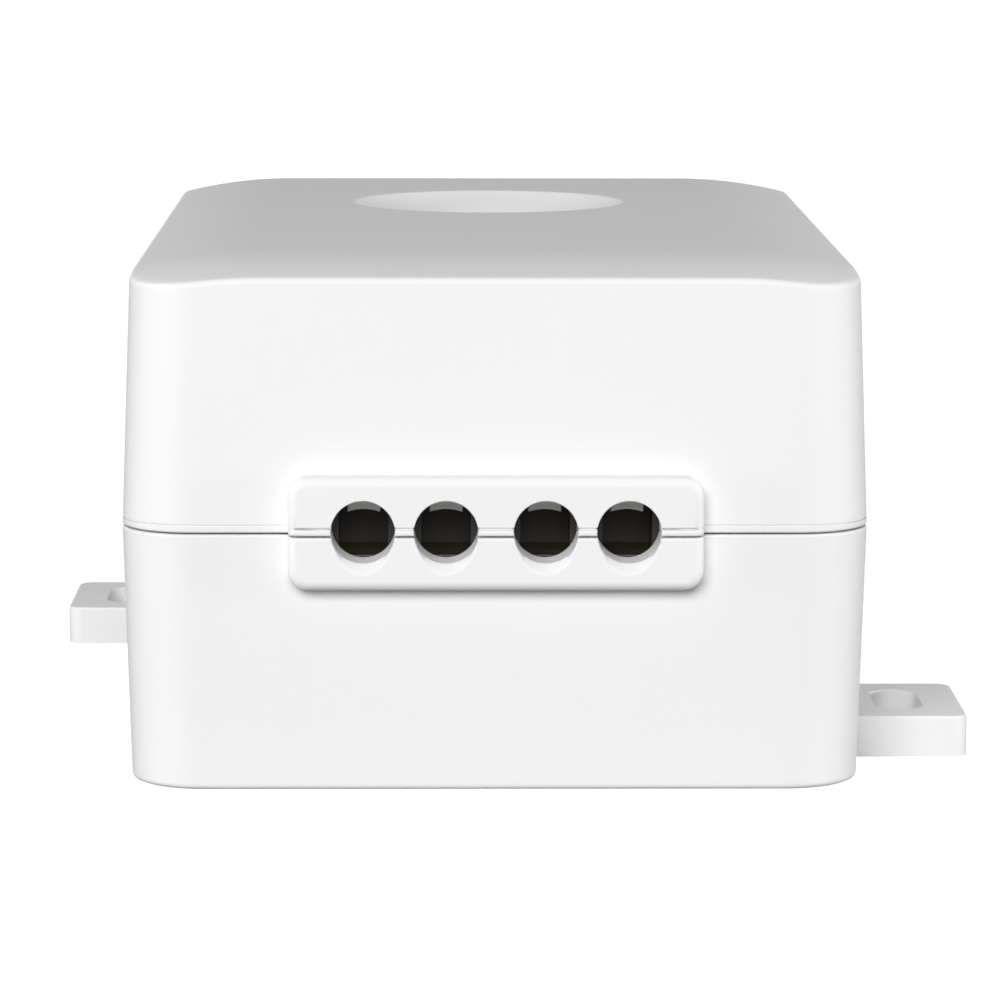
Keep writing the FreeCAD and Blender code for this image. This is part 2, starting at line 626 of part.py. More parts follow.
def make_base_shell():
    blank = drafted_box("base_blank", "0", "Sizes.parting_height", "Sizes.base_draft", up=False)
    bevelled = bevel_edges("base_bevel", blank, "Sizes.parting_bevel", lies_at_height("Sizes.parting_height"))
    footed = bevel_edges("base_foot", bevelled, "Sizes.foot_bevel", lies_at_height("0"))
    lugs = [make_lug(f"lug_{'right' if side > 0 else 'left'}", side) for side in SIDES]
    outside = fuse("base_outside", footed, entry_pad("base_pad", upper=False), *lugs)
    cavity_height = "Sizes.parting_height - Sizes.floor"
    cavity = drafted_box("base_cavity", "Sizes.wall", cavity_height, "Sizes.base_draft", up=False)
    shell = cut("base_open", outside, cavity)
    lip_bottom = "Sizes.parting_height - Sizes.lip_height"
    lip_outside = extrude(
        "lip_outside", case_outline("lip_outline", "Places.lip_inset + Sizes.lip_gap", lip_bottom),
        "Sizes.lip_height * 2",
    )
    lip_inside = extrude(
        "lip_inside", case_outline("lip_inside_outline", "Sizes.wall", lip_bottom), "Sizes.lip_height * 2",
    )
    lip = cut("base_lip", lip_outside, lip_inside, lip_break("base_lip_break", "-Sizes.lip_gap"))
    bosses = corner_bosses("base", "Sizes.floor / 2", "Sizes.parting_height - Sizes.floor / 2")
    board_posts = [
        block(f"board_post_{number}", "Sizes.board_post_width", "Sizes.board_post_width",
              "Places.board_bottom - Sizes.floor / 2",
              f"{side} * Places.board_post_side", f"{along} * Places.board_post_along", "Sizes.floor / 2")
        for number, (side, along) in enumerate(CORNERS, start=1)
    ]
    hooks = [make_hook(f"hook_{'right' if side > 0 else 'left'}", side) for side in SIDES]
    solid = fuse("base_solid", shell, lip, *bosses, *board_posts, *hooks)

    counterbores = [
        rod(f"counterbore_{number}", "Sizes.case_head_radius + Sizes.counterbore_gap",
            "Sizes.counterbore_depth", f"{side} * Places.post_side", f"{along} * Places.post_along")
        for number, (side, along) in enumerate(CASE_SCREW_CORNERS, start=1)
    ]
    shank_holes = [
        rod(f"shank_hole_{number}", "Sizes.case_screw_radius + Sizes.shank_gap", "Sizes.parting_height",
            f"{side} * Places.post_side", f"{along} * Places.post_along")
        for number, (side, along) in enumerate(CASE_SCREW_CORNERS, start=1)
    ]
    slots = [make_slot(f"slot_{'right' if side > 0 else 'left'}", side) for side in SIDES]
    cutters = counterbores + shank_holes + slots + entry_cutters("base_entry") + entry_lips("base_entry")
    return cut("base_shell", solid, *cutters)


def entry_lips(prefix):
    """Sloping cutters that ease the lower lip of each wire entry at the front."""
    slope = value("Sizes.entry_slope")
    angle = "Sizes.entry_slope * 1deg"
    reach = "Sizes.entry_radius * 2"
    front = "-(Places.half_depth + Sizes.pad_proud)"
    centre = f"Places.entry_height - Sizes.entry_radius - Sizes.entry_lip + Sizes.entry_radius / cos({angle})"
    return [
        rod_along(f"{prefix}_lip_{number}", "Sizes.entry_radius", f"2 * {reach}", x,
                  f"{front} - {reach} * cos({angle})", f"{centre} - {reach} * sin({angle})", slope)
        for number, x in POLES
    ]


# Fasteners


def cross_recess(tag, x, y, z):
    """The two cutters of a cross recess in a screw head."""
    return [
        block(f"{tag}_drive_across", "Sizes.drive_length", "Sizes.drive_width", "Sizes.drive_depth", x, y, z),
        block(f"{tag}_drive_along", "Sizes.drive_width", "Sizes.drive_length", "Sizes.drive_depth", x, y, z),
    ]


def make_case_screws():
    screws = []
    for number, (side, along) in enumerate(CASE_SCREW_CORNERS, start=1):
        x, y = f"{side} * Places.post_side", f"{along} * Places.post_along"
        tag = f"case_screw_{number}"
        under_head = "Sizes.counterbore_depth - Sizes.case_head_height"
        head = rod(f"{tag}_head", "Sizes.case_head_radius", "Sizes.case_head_height", x, y, under_head)
        shank = rod(f"{tag}_shank", "Sizes.case_screw_radius", "Sizes.case_screw_length",
                    x, y, "Sizes.counterbore_depth")
        screws.append(cut(tag, fuse(f"{tag}_solid", head, shank), *cross_recess(tag, x, y, under_head)))
    return group("case_screws", *screws)


# Terminals

FRAME_FRONT = "Places.block_front + Sizes.block_front_wall + Sizes.chamber_gap"
FRAME_MIDDLE = f"{FRAME_FRONT} + Sizes.frame_depth / 2"
FRAME_BOTTOM = "Places.entry_height - Sizes.frame_drop - Sizes.frame_foot"
FRAME_TOP = "Places.entry_height + Sizes.frame_rise + Sizes.frame_bar"
HEAD_SEAT = f"{FRAME_TOP} + Sizes.terminal_travel + Sizes.chamber_gap"


def make_terminal_block(name, side):
    """The black housing of one two-way screw terminal."""
    x = f"{side} * Places.block_spacing / 2"
    body = block(
        f"{name}_body", "Sizes.pole_pitch * 2", "Sizes.block_depth", "Sizes.block_height",
        x, "Places.block_front + Sizes.block_depth / 2", "Places.board_top",
    )
    cutters = []
    for pole_side in SIDES:
        tag = f"{name}_{'right' if pole_side > 0 else 'left'}"
        pole = f"{x} + {pole_side} * Sizes.pole_pitch / 2"
        reach = "(Sizes.block_front_wall + Sizes.chamber_gap * 2)"
        cutters.append(block(
            f"{tag}_mouth", "Sizes.mouth_width", reach, "Sizes.mouth_height",
            pole, f"Places.block_front + {reach} / 2", "Places.entry_height - Sizes.mouth_height / 2",
        ))
        chamber_height = f"{FRAME_TOP} + Sizes.chamber_gap - ({FRAME_BOTTOM})"
        cutters.append(block(
            f"{tag}_chamber", "Sizes.frame_width + 2 * Sizes.chamber_gap",
            "Sizes.frame_depth + 2 * Sizes.chamber_gap", chamber_height, pole, FRAME_MIDDLE, FRAME_BOTTOM,
        ))
        cutters.append(rod(
            f"{tag}_shaft", "Sizes.terminal_head_radius + Sizes.shaft_gap", "Sizes.block_height",
            pole, FRAME_MIDDLE, FRAME_TOP,
        ))
        cutters.append(block(
            f"{tag}_blade_slot", "Sizes.blade_width + 2 * Sizes.chamber_gap",
            "Sizes.blade_thickness + 2 * Sizes.chamber_gap", f"{FRAME_BOTTOM} - Places.board_top",
            pole, FRAME_MIDDLE, "Places.board_top",
        ))
    return cut(name, body, *cutters)


def make_contact_frame(number, x):
    """A metal frame round the wire, with a threaded bar above and a solder blade below."""
    tag = f"contact_frame_{number}"
    height = f"{FRAME_TOP} - ({FRAME_BOTTOM})"
    outside = block(
        f"{tag}_outside", "Sizes.frame_width", "Sizes.frame_depth", height, x, FRAME_MIDDLE, FRAME_BOTTOM,
    )
    inside = block(
        f"{tag}_inside", "Sizes.frame_width - 2 * Sizes.frame_sheet", "Sizes.frame_depth",
        "Sizes.frame_drop + Sizes.frame_rise", x, FRAME_MIDDLE, "Places.entry_height - Sizes.frame_drop",
    )
    thread = rod(
        f"{tag}_thread", "Sizes.terminal_screw_radius + Sizes.screw_gap", "Sizes.frame_bar",
        x, FRAME_MIDDLE, f"{FRAME_TOP} - Sizes.frame_bar",
    )
    blade_bottom = "Places.board_bottom - Sizes.solder_length"
    blade = block(
        f"{tag}_blade", "Sizes.blade_width", "Sizes.blade_thickness", f"{FRAME_BOTTOM} - ({blade_bottom})",
        x, FRAME_MIDDLE, blade_bottom,
    )
    return fuse(tag, cut(f"{tag}_ring", outside, inside, thread), blade)


def make_clamp_leaf(number, x):
    """The pressed metal piece under the screw, with an arched underside."""
    tag = f"clamp_leaf_{number}"
    bottom = "Places.entry_height + Sizes.leaf_rise - Sizes.leaf_arch"
    plate = block(
        f"{tag}_plate", "Sizes.leaf_width", "Sizes.leaf_depth", "Sizes.leaf_thickness + Sizes.leaf_arch",
        x, f"{FRAME_FRONT} + Sizes.leaf_depth / 2", bottom,
    )
    arch_radius = "((Sizes.leaf_width / 2)^2 + Sizes.leaf_arch^2) / (2 * Sizes.leaf_arch)"
    arch = rod_along(
        f"{tag}_arch", arch_radius, "Sizes.leaf_depth",
        x, FRAME_FRONT, f"Places.entry_height + Sizes.leaf_rise - {arch_radius}",
    )
    return cut(tag, plate, arch)


def make_terminal_screw(number, x):
    """A slotted screw whose tip rests on its clamp leaf."""
    tag = f"terminal_screw_{number}"
    tip = "Places.entry_height + Sizes.leaf_rise + Sizes.leaf_thickness"
    shank = rod(f"{tag}_shank", "Sizes.terminal_screw_radius", f"{HEAD_SEAT} - ({tip})", x, FRAME_MIDDLE, tip)
    head = rod(
        f"{tag}_head", "Sizes.terminal_head_radius", "Sizes.terminal_head_height", x, FRAME_MIDDLE, HEAD_SEAT,
    )
    slot = block(
        f"{tag}_drive", "Sizes.drive_length", "Sizes.drive_width", "Sizes.drive_depth",
        x, FRAME_MIDDLE, f"{HEAD_SEAT} + Sizes.terminal_head_height - Sizes.drive_depth",
    )
    return cut(tag, fuse(f"{tag}_solid", shank, head), slot)


# Electronics

PIN_BOTTOM = "Places.board_bottom - Sizes.solder_length"

BOXED_PARTS = ("relay", "power")
TWO_LEAD_PARTS = ("film", "varistor", "fuse", "bulk")


def pin_places(part):
    """Number, side and along formulas of each pin of a part."""
    if part in BOXED_PARTS:
        reach_x = f"(Sizes.{part}_width / 2 - Sizes.pin_inset)"
        reach_y = f"(Sizes.{part}_length / 2 - Sizes.pin_inset)"
        pins = [(f"{side} * {reach_x}", f"{along} * {reach_y}") for side, along in CORNERS]
    else:
        reach = "Sizes.film_width / 2 - Sizes.pin_inset" if part == "film" else f"Sizes.{part}_radius / 2"
        pins = [(f"{side} * ({reach})", "0") for side in SIDES]
    if part == "relay":
        pins.append(("0", f"-{reach_y}"))
    for number, (x, y) in enumerate(pins, start=1):
        yield number, f"Sizes.{part}_side + {x}", f"Sizes.{part}_along + {y}"


def make_pins(part, top="Places.board_top"):
    """The flat solder pins of a part, from its underside through the board."""
    return [
        block(f"{part}_pin_{number}", "Sizes.pin_width", "Sizes.pin_thickness", f"{top} - ({PIN_BOTTOM})",
              x, y, PIN_BOTTOM)
        for number, x, y in pin_places(part)
    ]


def make_circuit_board():
    sheet = block("board_sheet", "2 * Places.board_side", "2 * Places.board_end", "Sizes.board_thickness",
                  z="Places.board_bottom")
    notch_side = "(Sizes.post_inset + Sizes.post_radius + Sizes.notch_gap)"
    cutters = [
        block(f"board_notch_{number}", notch_side, notch_side, "Sizes.board_thickness",
              f"{side} * (Places.half_width - {notch_side} / 2)",
              f"{along} * (Places.half_depth - {notch_side} / 2)", "Places.board_bottom")
        for number, (side, along) in enumerate(CASE_SCREW_CORNERS, start=1)
    ]
    hook_notch = "(Sizes.hook_edge + Sizes.hook_thickness + Sizes.hook_gap)"
    cutters += [
        block(f"hook_notch_{number}", hook_notch, "Sizes.hook_width + 2 * Sizes.hook_gap",
              "Sizes.board_thickness", f"{side} * (Places.board_side - {hook_notch} / 2)",
              "Sizes.hook_along", "Places.board_bottom")
        for number, side in enumerate(SIDES, start=1)
    ]
    cutters += [
        block(f"blade_hole_{number}", "Sizes.blade_width + 2 * Sizes.hole_gap",
              "Sizes.blade_thickness + 2 * Sizes.hole_gap", "Sizes.board_thickness",
              x, FRAME_MIDDLE, "Places.board_bottom")
        for number, x in POLES
    ]
    cutters += [
        block(f"{part}_hole_{number}", "Sizes.pin_width + 2 * Sizes.hole_gap",
              "Sizes.pin_thickness + 2 * Sizes.hole_gap", "Sizes.board_thickness",
              x, y, "Places.board_bottom")
        for part in BOXED_PARTS + TWO_LEAD_PARTS
        for number, x, y in pin_places(part)
    ]
    return cut("circuit_board", sheet, *cutters)


def boxed_part(name, part, bevel):
    """A moulded block with bevelled edges that stands on the board on its pins."""
    body = block(f"{part}_body", f"Sizes.{part}_width", f"Sizes.{part}_length", f"Sizes.{part}_height",
                 f"Sizes.{part}_side", f"Sizes.{part}_along", "Places.board_top")
    return fuse(name, bevel_edges(f"{part}_bevel", body, bevel, is_upright), *make_pins(part))


def make_varistor():
    centre = "Places.board_top + Sizes.varistor_lift + Sizes.varistor_radius"
    front = "Sizes.varistor_along - Sizes.varistor_thickness / 2"
    disc = rod_along(
        "varistor_disc", "Sizes.varistor_radius", "Sizes.varistor_thickness",
        "Sizes.varistor_side", front, centre,
    )
    return fuse("varistor", disc, *make_pins("varistor", "Places.board_top + Sizes.varistor_radius"))


def make_can(name, part):
    """A round can that stands on the board on its pins."""
    body = rod(f"{part}_body", f"Sizes.{part}_radius", f"Sizes.{part}_height",
               f"Sizes.{part}_side", f"Sizes.{part}_along", "Places.board_top")
    return fuse(name, body, *make_pins(part))


def make_radio_board():
    return block("radio_board", "Sizes.radio_width", "Sizes.radio_length", "Sizes.radio_thickness",
                 "Places.radio_side", "Places.radio_along", "Places.board_top")


def make_radio_shield():
    middle = "Places.radio_along - Sizes.radio_length / 2 + Sizes.shield_inset + Sizes.shield_length / 2"
    lid = block("shield_body", "Sizes.shield_width", "Sizes.shield_length", "Sizes.shield_height",
                "Places.radio_side", middle, "Places.board_top + Sizes.radio_thickness")
    return bevel_edges("radio_shield", lid, "Sizes.shield_height / 6",
                       lies_at_height("Places.board_top + Sizes.radio_thickness + Sizes.shield_height"))


def make_touch_controller():
    chip = block("chip_body", "Sizes.chip_width", "Sizes.chip_length", "Sizes.chip_height",
                 "Sizes.chip_side", "Places.chip_along", "Places.board_top")
    return bevel_edges("touch_controller", chip, "Sizes.chip_height / 6",
                       lies_at_height("Places.board_top + Sizes.chip_height"))


def make_touch_electrode():
    """A thin metal disc on the flat under the finger dish."""
    return rod("touch_electrode", "Sizes.electrode_radius", "Sizes.electrode_thickness",
               y="Sizes.dish_setback", z="Places.ceiling - Sizes.dish_depth - Sizes.electrode_thickness")


def make_touch_spring():
    """A contact spring between the board and the electrode, as a plain sleeve."""
    height = "Places.ceiling - Sizes.dish_depth - Sizes.electrode_thickness - Places.board_top"
    outside = rod("spring_outside", "Sizes.spring_radius + Sizes.spring_wire / 2", height,
                  y="Sizes.dish_setback", z="Places.board_top")
    inside = rod("spring_inside", "Sizes.spring_radius - Sizes.spring_wire / 2", height,
                 y="Sizes.dish_setback", z="Places.board_top")
    return cut("touch_spring", outside, inside)


nodes = [make_top_cover(), make_base_shell(), make_case_screws(), make_circuit_board()]
nodes += [make_terminal_block(f"terminal_block_{word}", side) for word, side in (("left", -1), ("right", 1))]
for pole, pole_x in POLES:
    nodes.append(make_contact_frame(pole, pole_x))
    nodes.append(make_clamp_leaf(pole, pole_x))
    nodes.append(make_terminal_screw(pole, pole_x))
nodes.append(boxed_part("relay", "relay", "Sizes.moulded_bevel"))
nodes.append(boxed_part("power_module", "power", "Sizes.moulded_bevel"))
nodes.append(boxed_part("suppression_capacitor", "film", "Sizes.film_bevel"))
nodes.append(make_varistor())
nodes.append(make_can("thermal_fuse", "fuse"))
nodes.append(make_can("bulk_capacitor", "bulk"))
nodes += [make_radio_board(), make_radio_shield(), make_touch_controller()]
nodes += [make_touch_electrode(), make_touch_spring()]
doc.recompute()

for item in doc.Objects:
    if "Invalid" in item.State or "Error" in item.State:
        raise RuntimeError(f"{item.Name} failed: {item.State}")
for node in nodes:
    if node.Shape.isNull() or not node.Shape.isValid() or node.Shape.Volume <= 0:
        raise RuntimeError(f"{node.Label} has no valid solid")

os.makedirs("parts", exist_ok=True)
for node in nodes:
    node.Shape.exportStep(f"parts/{node.Label}.step")
    print(f"{node.Label}: {len(node.Shape.Solids)} solids, {node.Shape.Volume:.2f} mm3")
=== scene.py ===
"""Looks of the touch switch: its two white shells, its board and parts, the camera and the studio."""

import json
import math

import bpy
from bpy.props import FloatProperty, FloatVectorProperty, PointerProperty
from mathutils import Matrix, Vector


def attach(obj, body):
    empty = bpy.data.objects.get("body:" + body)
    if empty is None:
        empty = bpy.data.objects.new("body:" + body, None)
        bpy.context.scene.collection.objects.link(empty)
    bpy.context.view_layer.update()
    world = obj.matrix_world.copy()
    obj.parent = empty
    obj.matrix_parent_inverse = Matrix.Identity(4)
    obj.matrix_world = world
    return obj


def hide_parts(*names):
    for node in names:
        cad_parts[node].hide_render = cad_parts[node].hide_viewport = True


bl_info = {
    "name": "Touch switch looks",
    "version": (1, 0, 0),
    "blender": (4, 5, 0),
    "location": "View3D > Sidebar > Touch switch",
    "description": "Shells, board, terminals and studio of a mains touch switch",
    "category": "Object",
}

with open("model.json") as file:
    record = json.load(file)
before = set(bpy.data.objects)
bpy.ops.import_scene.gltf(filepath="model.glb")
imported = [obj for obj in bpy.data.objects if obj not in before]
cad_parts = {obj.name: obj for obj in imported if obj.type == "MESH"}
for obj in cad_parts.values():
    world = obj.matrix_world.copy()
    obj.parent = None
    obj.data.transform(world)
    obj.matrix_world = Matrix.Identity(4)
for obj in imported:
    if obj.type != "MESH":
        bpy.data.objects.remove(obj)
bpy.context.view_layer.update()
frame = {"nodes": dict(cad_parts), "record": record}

MM = 0.001
POLES = (1, 2, 3, 4)
SIDES = (-1, 1)

# Sizes in millimetres and degrees, the same as those of the solids that they stand for

# Shells
HALF_WIDTH = 22.75
HALF_DEPTH = 36.3
HEIGHT = 32.2
PARTING = 15.75
COVER_DRAFT = 1.95
BASE_DRAFT = 1.6
CORNER = 4.4
WALL = 1.6
FLOOR = 2.0
CEILING = HEIGHT - WALL
EDGE_ROUND = 0.35
CROWN_REACH = 7.9
CROWN_RADIUS = CROWN_REACH / math.sin(math.radians(14.4))
TOP_INSET = (HEIGHT - PARTING) * math.tan(math.radians(COVER_DRAFT))
FLAT_X = HALF_WIDTH - CROWN_REACH - TOP_INSET
FLAT_Y = HALF_DEPTH - CROWN_REACH - TOP_INSET
SHELL_GAP = 0.12
BEAD = 0.4
DISH_RADIUS = 9.3
DISH_DEPTH = 2.4
DISH_FLOOR = DISH_RADIUS - DISH_DEPTH / math.tan(math.radians(32))
DISH_ALONG = 8.7
DISH_FLAT = 5.2
WIRE_HEIGHT = 16.07
WIRE_PLACES = (-8.0, -3.0, 3.0, 8.0)
ENTRY_RADIUS = 1.93
PAD_HALF_WIDTH = 12.5
PAD_FRONT = -(HALF_DEPTH + 1.4)
PAD_TOP = WIRE_HEIGHT + 3.33
PAD_BOTTOM = WIRE_HEIGHT - 3.53
LIP = 1.4
LIP_INSET = 0.8
LIP_GAP = 0.05
LIP_PROUD = 0.045
LUG_TIP = HALF_WIDTH + 7.15
LUG_NEAR = -(HALF_DEPTH - 10.4)
LUG_FAR = LUG_NEAR + 11.25
LUG_THICKNESS = 2.6
SLOT_SIDE = HALF_WIDTH + 3.1
SLOT_RADIUS = 1.55
SLOT_HALF_STRAIGHT = 1.85
BOSS_SIDE = HALF_WIDTH - 5.0
BOSS_ALONG = HALF_DEPTH - 5.0
BOSS_RADIUS = 3.1
BASE_BOSS_INSET = 1.2
PILOT_RADIUS, PILOT_TOP = 1.45, 22.0
SHANK_RADIUS = 1.6
SINK_RADIUS, SINK_DEPTH = 2.75, 6.0

# Board, what holds it, and the parts on it
BOARD_TOP = WIRE_HEIGHT - 4.6
BOARD_BOTTOM = BOARD_TOP - 1.6
PIN_BOTTOM = BOARD_BOTTOM - 1.4
POST_X, POST_Y, POST_HALF = 17.5, 24.5, 2.0
HOOK_NEAR, HOOK_FAR = -8.0, -4.0
HOOK_OUTER, HOOK_INNER = 20.3, 18.9
NOSE_ROOT, NOSE_TIP, NOSE_SLOPE = 19.6, 18.2, 0.69
NOSE_LOW, NOSE_HIGH = BOARD_TOP + 0.15, BOARD_TOP + 1.75
RELAY_MIDDLE, RELAY_SIZE = (-8.4, -12.5), (15.5, 19.0, 15.3)
POWER_MIDDLE, POWER_SIZE = (8.3, -12.2), (14.0, 20.0, 11.5)
FILM_MIDDLE, FILM_SIZE = (-12.6, 15.2), (13.0, 6.0, 12.0)
VARISTOR_MIDDLE = (-14.0, 9.6)
FUSE_MIDDLE = (-13.4, 2.2)
BULK_MIDDLE = (16.2, 2.4)
CHIP_MIDDLE, CHIP_SIZE = (-4.0, 22.3), (2.8, 4.9, 1.4)
LEG_PITCH = 1.27
RADIO_LEFT, RADIO_RIGHT = 3.6, 14.0
RADIO_NEAR, RADIO_FAR = 16.2, 32.7
RADIO_TOP = BOARD_TOP + 0.8
SHIELD_MIDDLE, SHIELD_SIZE = (8.8, 22.25), (9.4, 10.5, 2.2)
RESISTOR_PLACES = (
    (-6.6, 0.6), (-6.6, 3.2), (-6.6, 5.8), (-6.6, 8.4), (5.4, 1.0), (5.4, 3.4), (5.4, 5.8),
    (9.0, 1.0), (9.0, 3.4), (9.0, 5.8), (9.0, 8.2), (-9.6, 21.4), (-9.6, 23.6), (-9.6, 25.8),
    (-13.0, 21.4), (-13.0, 23.6), (-3.8, 27.6), (-3.8, 29.8), (-0.4, 27.6),
)
TANTALUM_PLACES = ((6.0, 12.2), (10.8, 12.2), (-14.2, 28.0))

# How finely the outline and the crown are stepped, and the angles past which shading keeps an edge
ARC_STEPS, SIDE_STEPS, CROWN_STEPS = 24, 4, 14
PART_SHARP, SHELL_SHARP = 30.0, 32.0

# The pole whose terminal pieces are dressed; the other poles get copies of them
MODEL_POLE = 3

# How far the lights stand from the object, in metres
LIGHT_DISTANCE = 1.1


def linear(hex_colour):
    """An sRGB hex colour as linear red, green and blue."""
    channels = [int(hex_colour[place:place + 2], 16) / 255 for place in (1, 3, 5)]
    return tuple(c / 12.92 if c <= 0.04045 else ((c + 0.055) / 1.055) ** 2.4 for c in channels)


def per_mm(size):
    """The scale of a noise, wave or grid texture whose features are this many millimetres apart."""
    return 1.0 / (size * MM)


# Settings that a user would change


def colour_setting(name, description, hex_colour):
    """A colour that the panel shows."""
    return FloatVectorProperty(
        name=name, description=description, subtype="COLOR", size=3, min=0.0, max=1.0,
        default=linear(hex_colour),
    )


def angle_setting(name, description, degrees):
    """An angle of the camera."""
    return FloatProperty(name=name, description=description, default=math.radians(degrees), subtype="ANGLE")


def power_setting(name, description, watts):
    """The power of a light."""
    return FloatProperty(name=name, description=description, default=watts, min=0.0, unit="POWER")


class ShellSettings(bpy.types.PropertyGroup):
    plastic: colour_setting("Shell plastic", "Colour of the two moulded shells", "#F1F1F2")
    roughness: FloatProperty(
        name="Shell roughness", description="How matt the shells are",
        default=0.5, min=0.0, max=1.0, subtype="FACTOR",
    )


class PartSettings(bpy.types.PropertyGroup):
    board: colour_setting("Solder mask", "Colour of the circuit board's solder mask", "#1E6B3A")
    radio: colour_setting("Radio board mask", "Colour of the radio board's solder mask", "#14294A")
    terminal: colour_setting("Terminal housing", "Colour of the terminal blocks", "#211B17")
    relay: colour_setting("Relay housing", "Colour of the relay's moulded case", "#1F4FA0")
    module: colour_setting("Power module", "Colour of the power module's case", "#1B1B1D")
    film: colour_setting("Film capacitor", "Colour of the suppression capacitor's box", "#E3B51C")
    varistor: colour_setting("Varistor lacquer", "Colour of the varistor's coat", "#2A5FB8")
    sleeve: colour_setting("Capacitor sleeve", "Colour of the bulk capacitor's sleeve", "#1C2436")
    edge: FloatProperty(
        name="Part edge", description="Radius of the small round on the inner parts' sharp edges",
        default=0.08 * MM, min=0.0, soft_max=0.5 * MM, unit="LENGTH", precision=5,
    )
    spring_wire: FloatProperty(
        name="Spring wire", description="Diameter of the touch spring's wire",
        default=0.6 * MM, min=0.1 * MM, soft_max=1 * MM, unit="LENGTH", precision=5,
    )


class StudioSettings(bpy.types.PropertyGroup):
    lens: FloatProperty(
        name="Lens", description="Focal length of the camera", default=166.619, min=10.0, unit="CAMERA",
    )
    pitch: angle_setting("Pitch", "How far the camera looks down", 8.4026)
    yaw: angle_setting("Yaw", "How far the camera looks to the right", 0.7685)
    roll: angle_setting("Roll", "How far the camera leans", 0.1081)
    place: FloatVectorProperty(
        name="Camera place", description="Where the camera stands",
        subtype="TRANSLATION", unit="LENGTH", size=3, default=(-3.4514 * MM, -311.7872 * MM, 58.585 * MM),
    )
    key_power: power_setting("Key light", "Power of the large soft light in front", 11.6)
    left_power: power_setting("Left light", "Power of the soft light on the left", 3.6)
    right_power: power_setting("Right light", "Power of the soft light on the right", 6.0)
    fill: FloatProperty(
        name="Room light", description="Strength of the even light from all round", default=0.03, min=0.0,
    )
    floor: colour_setting("Floor", "Colour of the plain floor", "#9C9C9C")


# Materials


def feed(tree, node, inputs):
    """Gives each named input of a node a value or another node's output."""
    for socket, source in inputs.items():
        if isinstance(source, bpy.types.NodeSocket):
            tree.links.new(source, node.inputs[socket])
        else:
            node.inputs[socket].default_value = source


def add(tree, kind, inputs=None, **settings):
    """Adds a node with its settings and inputs."""
    node = tree.nodes.new(kind)
    for name, setting in settings.items():
        setattr(node, name, setting)
    feed(tree, node, inputs or {})
    return node


def start_material(name, colour):
    """A new material with its node tree, object coordinates and shader. Its viewport colour is set too."""
    material = bpy.data.materials.new(name)
    material.diffuse_color = (*colour, 1.0)
    material.use_nodes = True
    tree = material.node_tree
    tree.nodes.clear()
    place = add(tree, "ShaderNodeTexCoord").outputs["Object"]
    shader = add(tree, "ShaderNodeBsdfPrincipled")
    add(tree, "ShaderNodeOutputMaterial", {"Surface": shader.outputs["BSDF"]})
    return material, tree, place, shader


def tint(tree, factor, colour, dark, light):
    """The colour from dark to light times itself, as factor goes from 0 to 1."""
    low = tuple(c * dark for c in colour) + (1.0,)
    high = tuple(min(1.0, c * light) for c in colour) + (1.0,)
    mix = add(tree, "ShaderNodeMix", {"Factor": factor}, data_type="RGBA")
    colour_inputs = [socket for socket in mix.inputs if socket.type == "RGBA"]
    colour_inputs[0].default_value = low
    colour_inputs[1].default_value = high
    return next(socket for socket in mix.outputs if socket.type == "RGBA")


def noise(tree, vector, apart_mm, **inputs):
    """Noise whose features are this many millimetres apart."""
    inputs = {"Vector": vector, "Scale": per_mm(apart_mm), **inputs}
    return add(tree, "ShaderNodeTexNoise", inputs).outputs["Fac"]


def skin(tree, shader, colour, rough, relief, others):
    """Feeds a shader its colour, roughness and relief.

    rough is a texture with the roughness at its two ends, and relief one with its height in mm and strength.
    """
    texture, low, high = rough
    varied = add(tree, "ShaderNodeMapRange", {"Value": texture, "To Min": low, "To Max": high})
    height, rise_mm, strength = relief
    bump = add(tree, "ShaderNodeBump", {"Height": height, "Distance": rise_mm * MM, "Strength": strength})
    led = {"Roughness": varied.outputs["Result"], "Normal": bump.outputs["Normal"]}
    feed(tree, shader, {"Base Color": colour, **led, **others})


def moulded_plastic(name, colour, roughness, grain_mm, grain_depth_mm, mottle=0.03, gloss=0.5):
    """Injection-moulded thermoplastic: an even satin skin with the fine grain of a spark-eroded mould.

    The grain breaks up reflections and the slow mottle keeps large faces from looking like paint.
    """
    material, tree, place, shader = start_material(name, colour)
    grain = noise(tree, place, grain_mm, Detail=3.0, Roughness=0.6)
    shades = tint(tree, noise(tree, place, 14, Detail=2.0), colour, 1 - mottle, 1 + mottle)
    skin(
        tree, shader, shades, (grain, roughness - 0.05, roughness + 0.05), (grain, grain_depth_mm, 0.6),
        {"IOR": 1.53, "Specular IOR Level": gloss},
    )
    return material


def lacquered(name, colour, roughness, ripple_mm):
    """A dipped or sleeved glossy skin, whose slow ripple bends its highlights."""
    material, tree, place, shader = start_material(name, colour)
    ripple = noise(tree, place, ripple_mm, Detail=2.0)
    skin(
        tree, shader, tint(tree, ripple, colour, 0.9, 1.08),
        (ripple, roughness - 0.04, roughness + 0.06), (ripple, 0.06, 0.5),
        {"Coat Weight": 0.3, "Coat Roughness": 0.12},
    )
    return material


def plated_metal(name, colour, roughness):
    """Stamped or turned metal with a thin plating: bright, with fine drawing marks along one way."""
    material, tree, place, shader = start_material(name, colour)
    stretched = add(tree, "ShaderNodeMapping", {"Vector": place, "Scale": (1.0, 1.0, 8.0)}).outputs["Vector"]
    marks = noise(tree, stretched, 1.0, Detail=4.0)
    skin(
        tree, shader, tint(tree, marks, colour, 0.82, 1.08),
        (marks, roughness - 0.08, roughness + 0.1), (marks, 0.01, 0.5), {"Metallic": 1.0},
    )
    return material


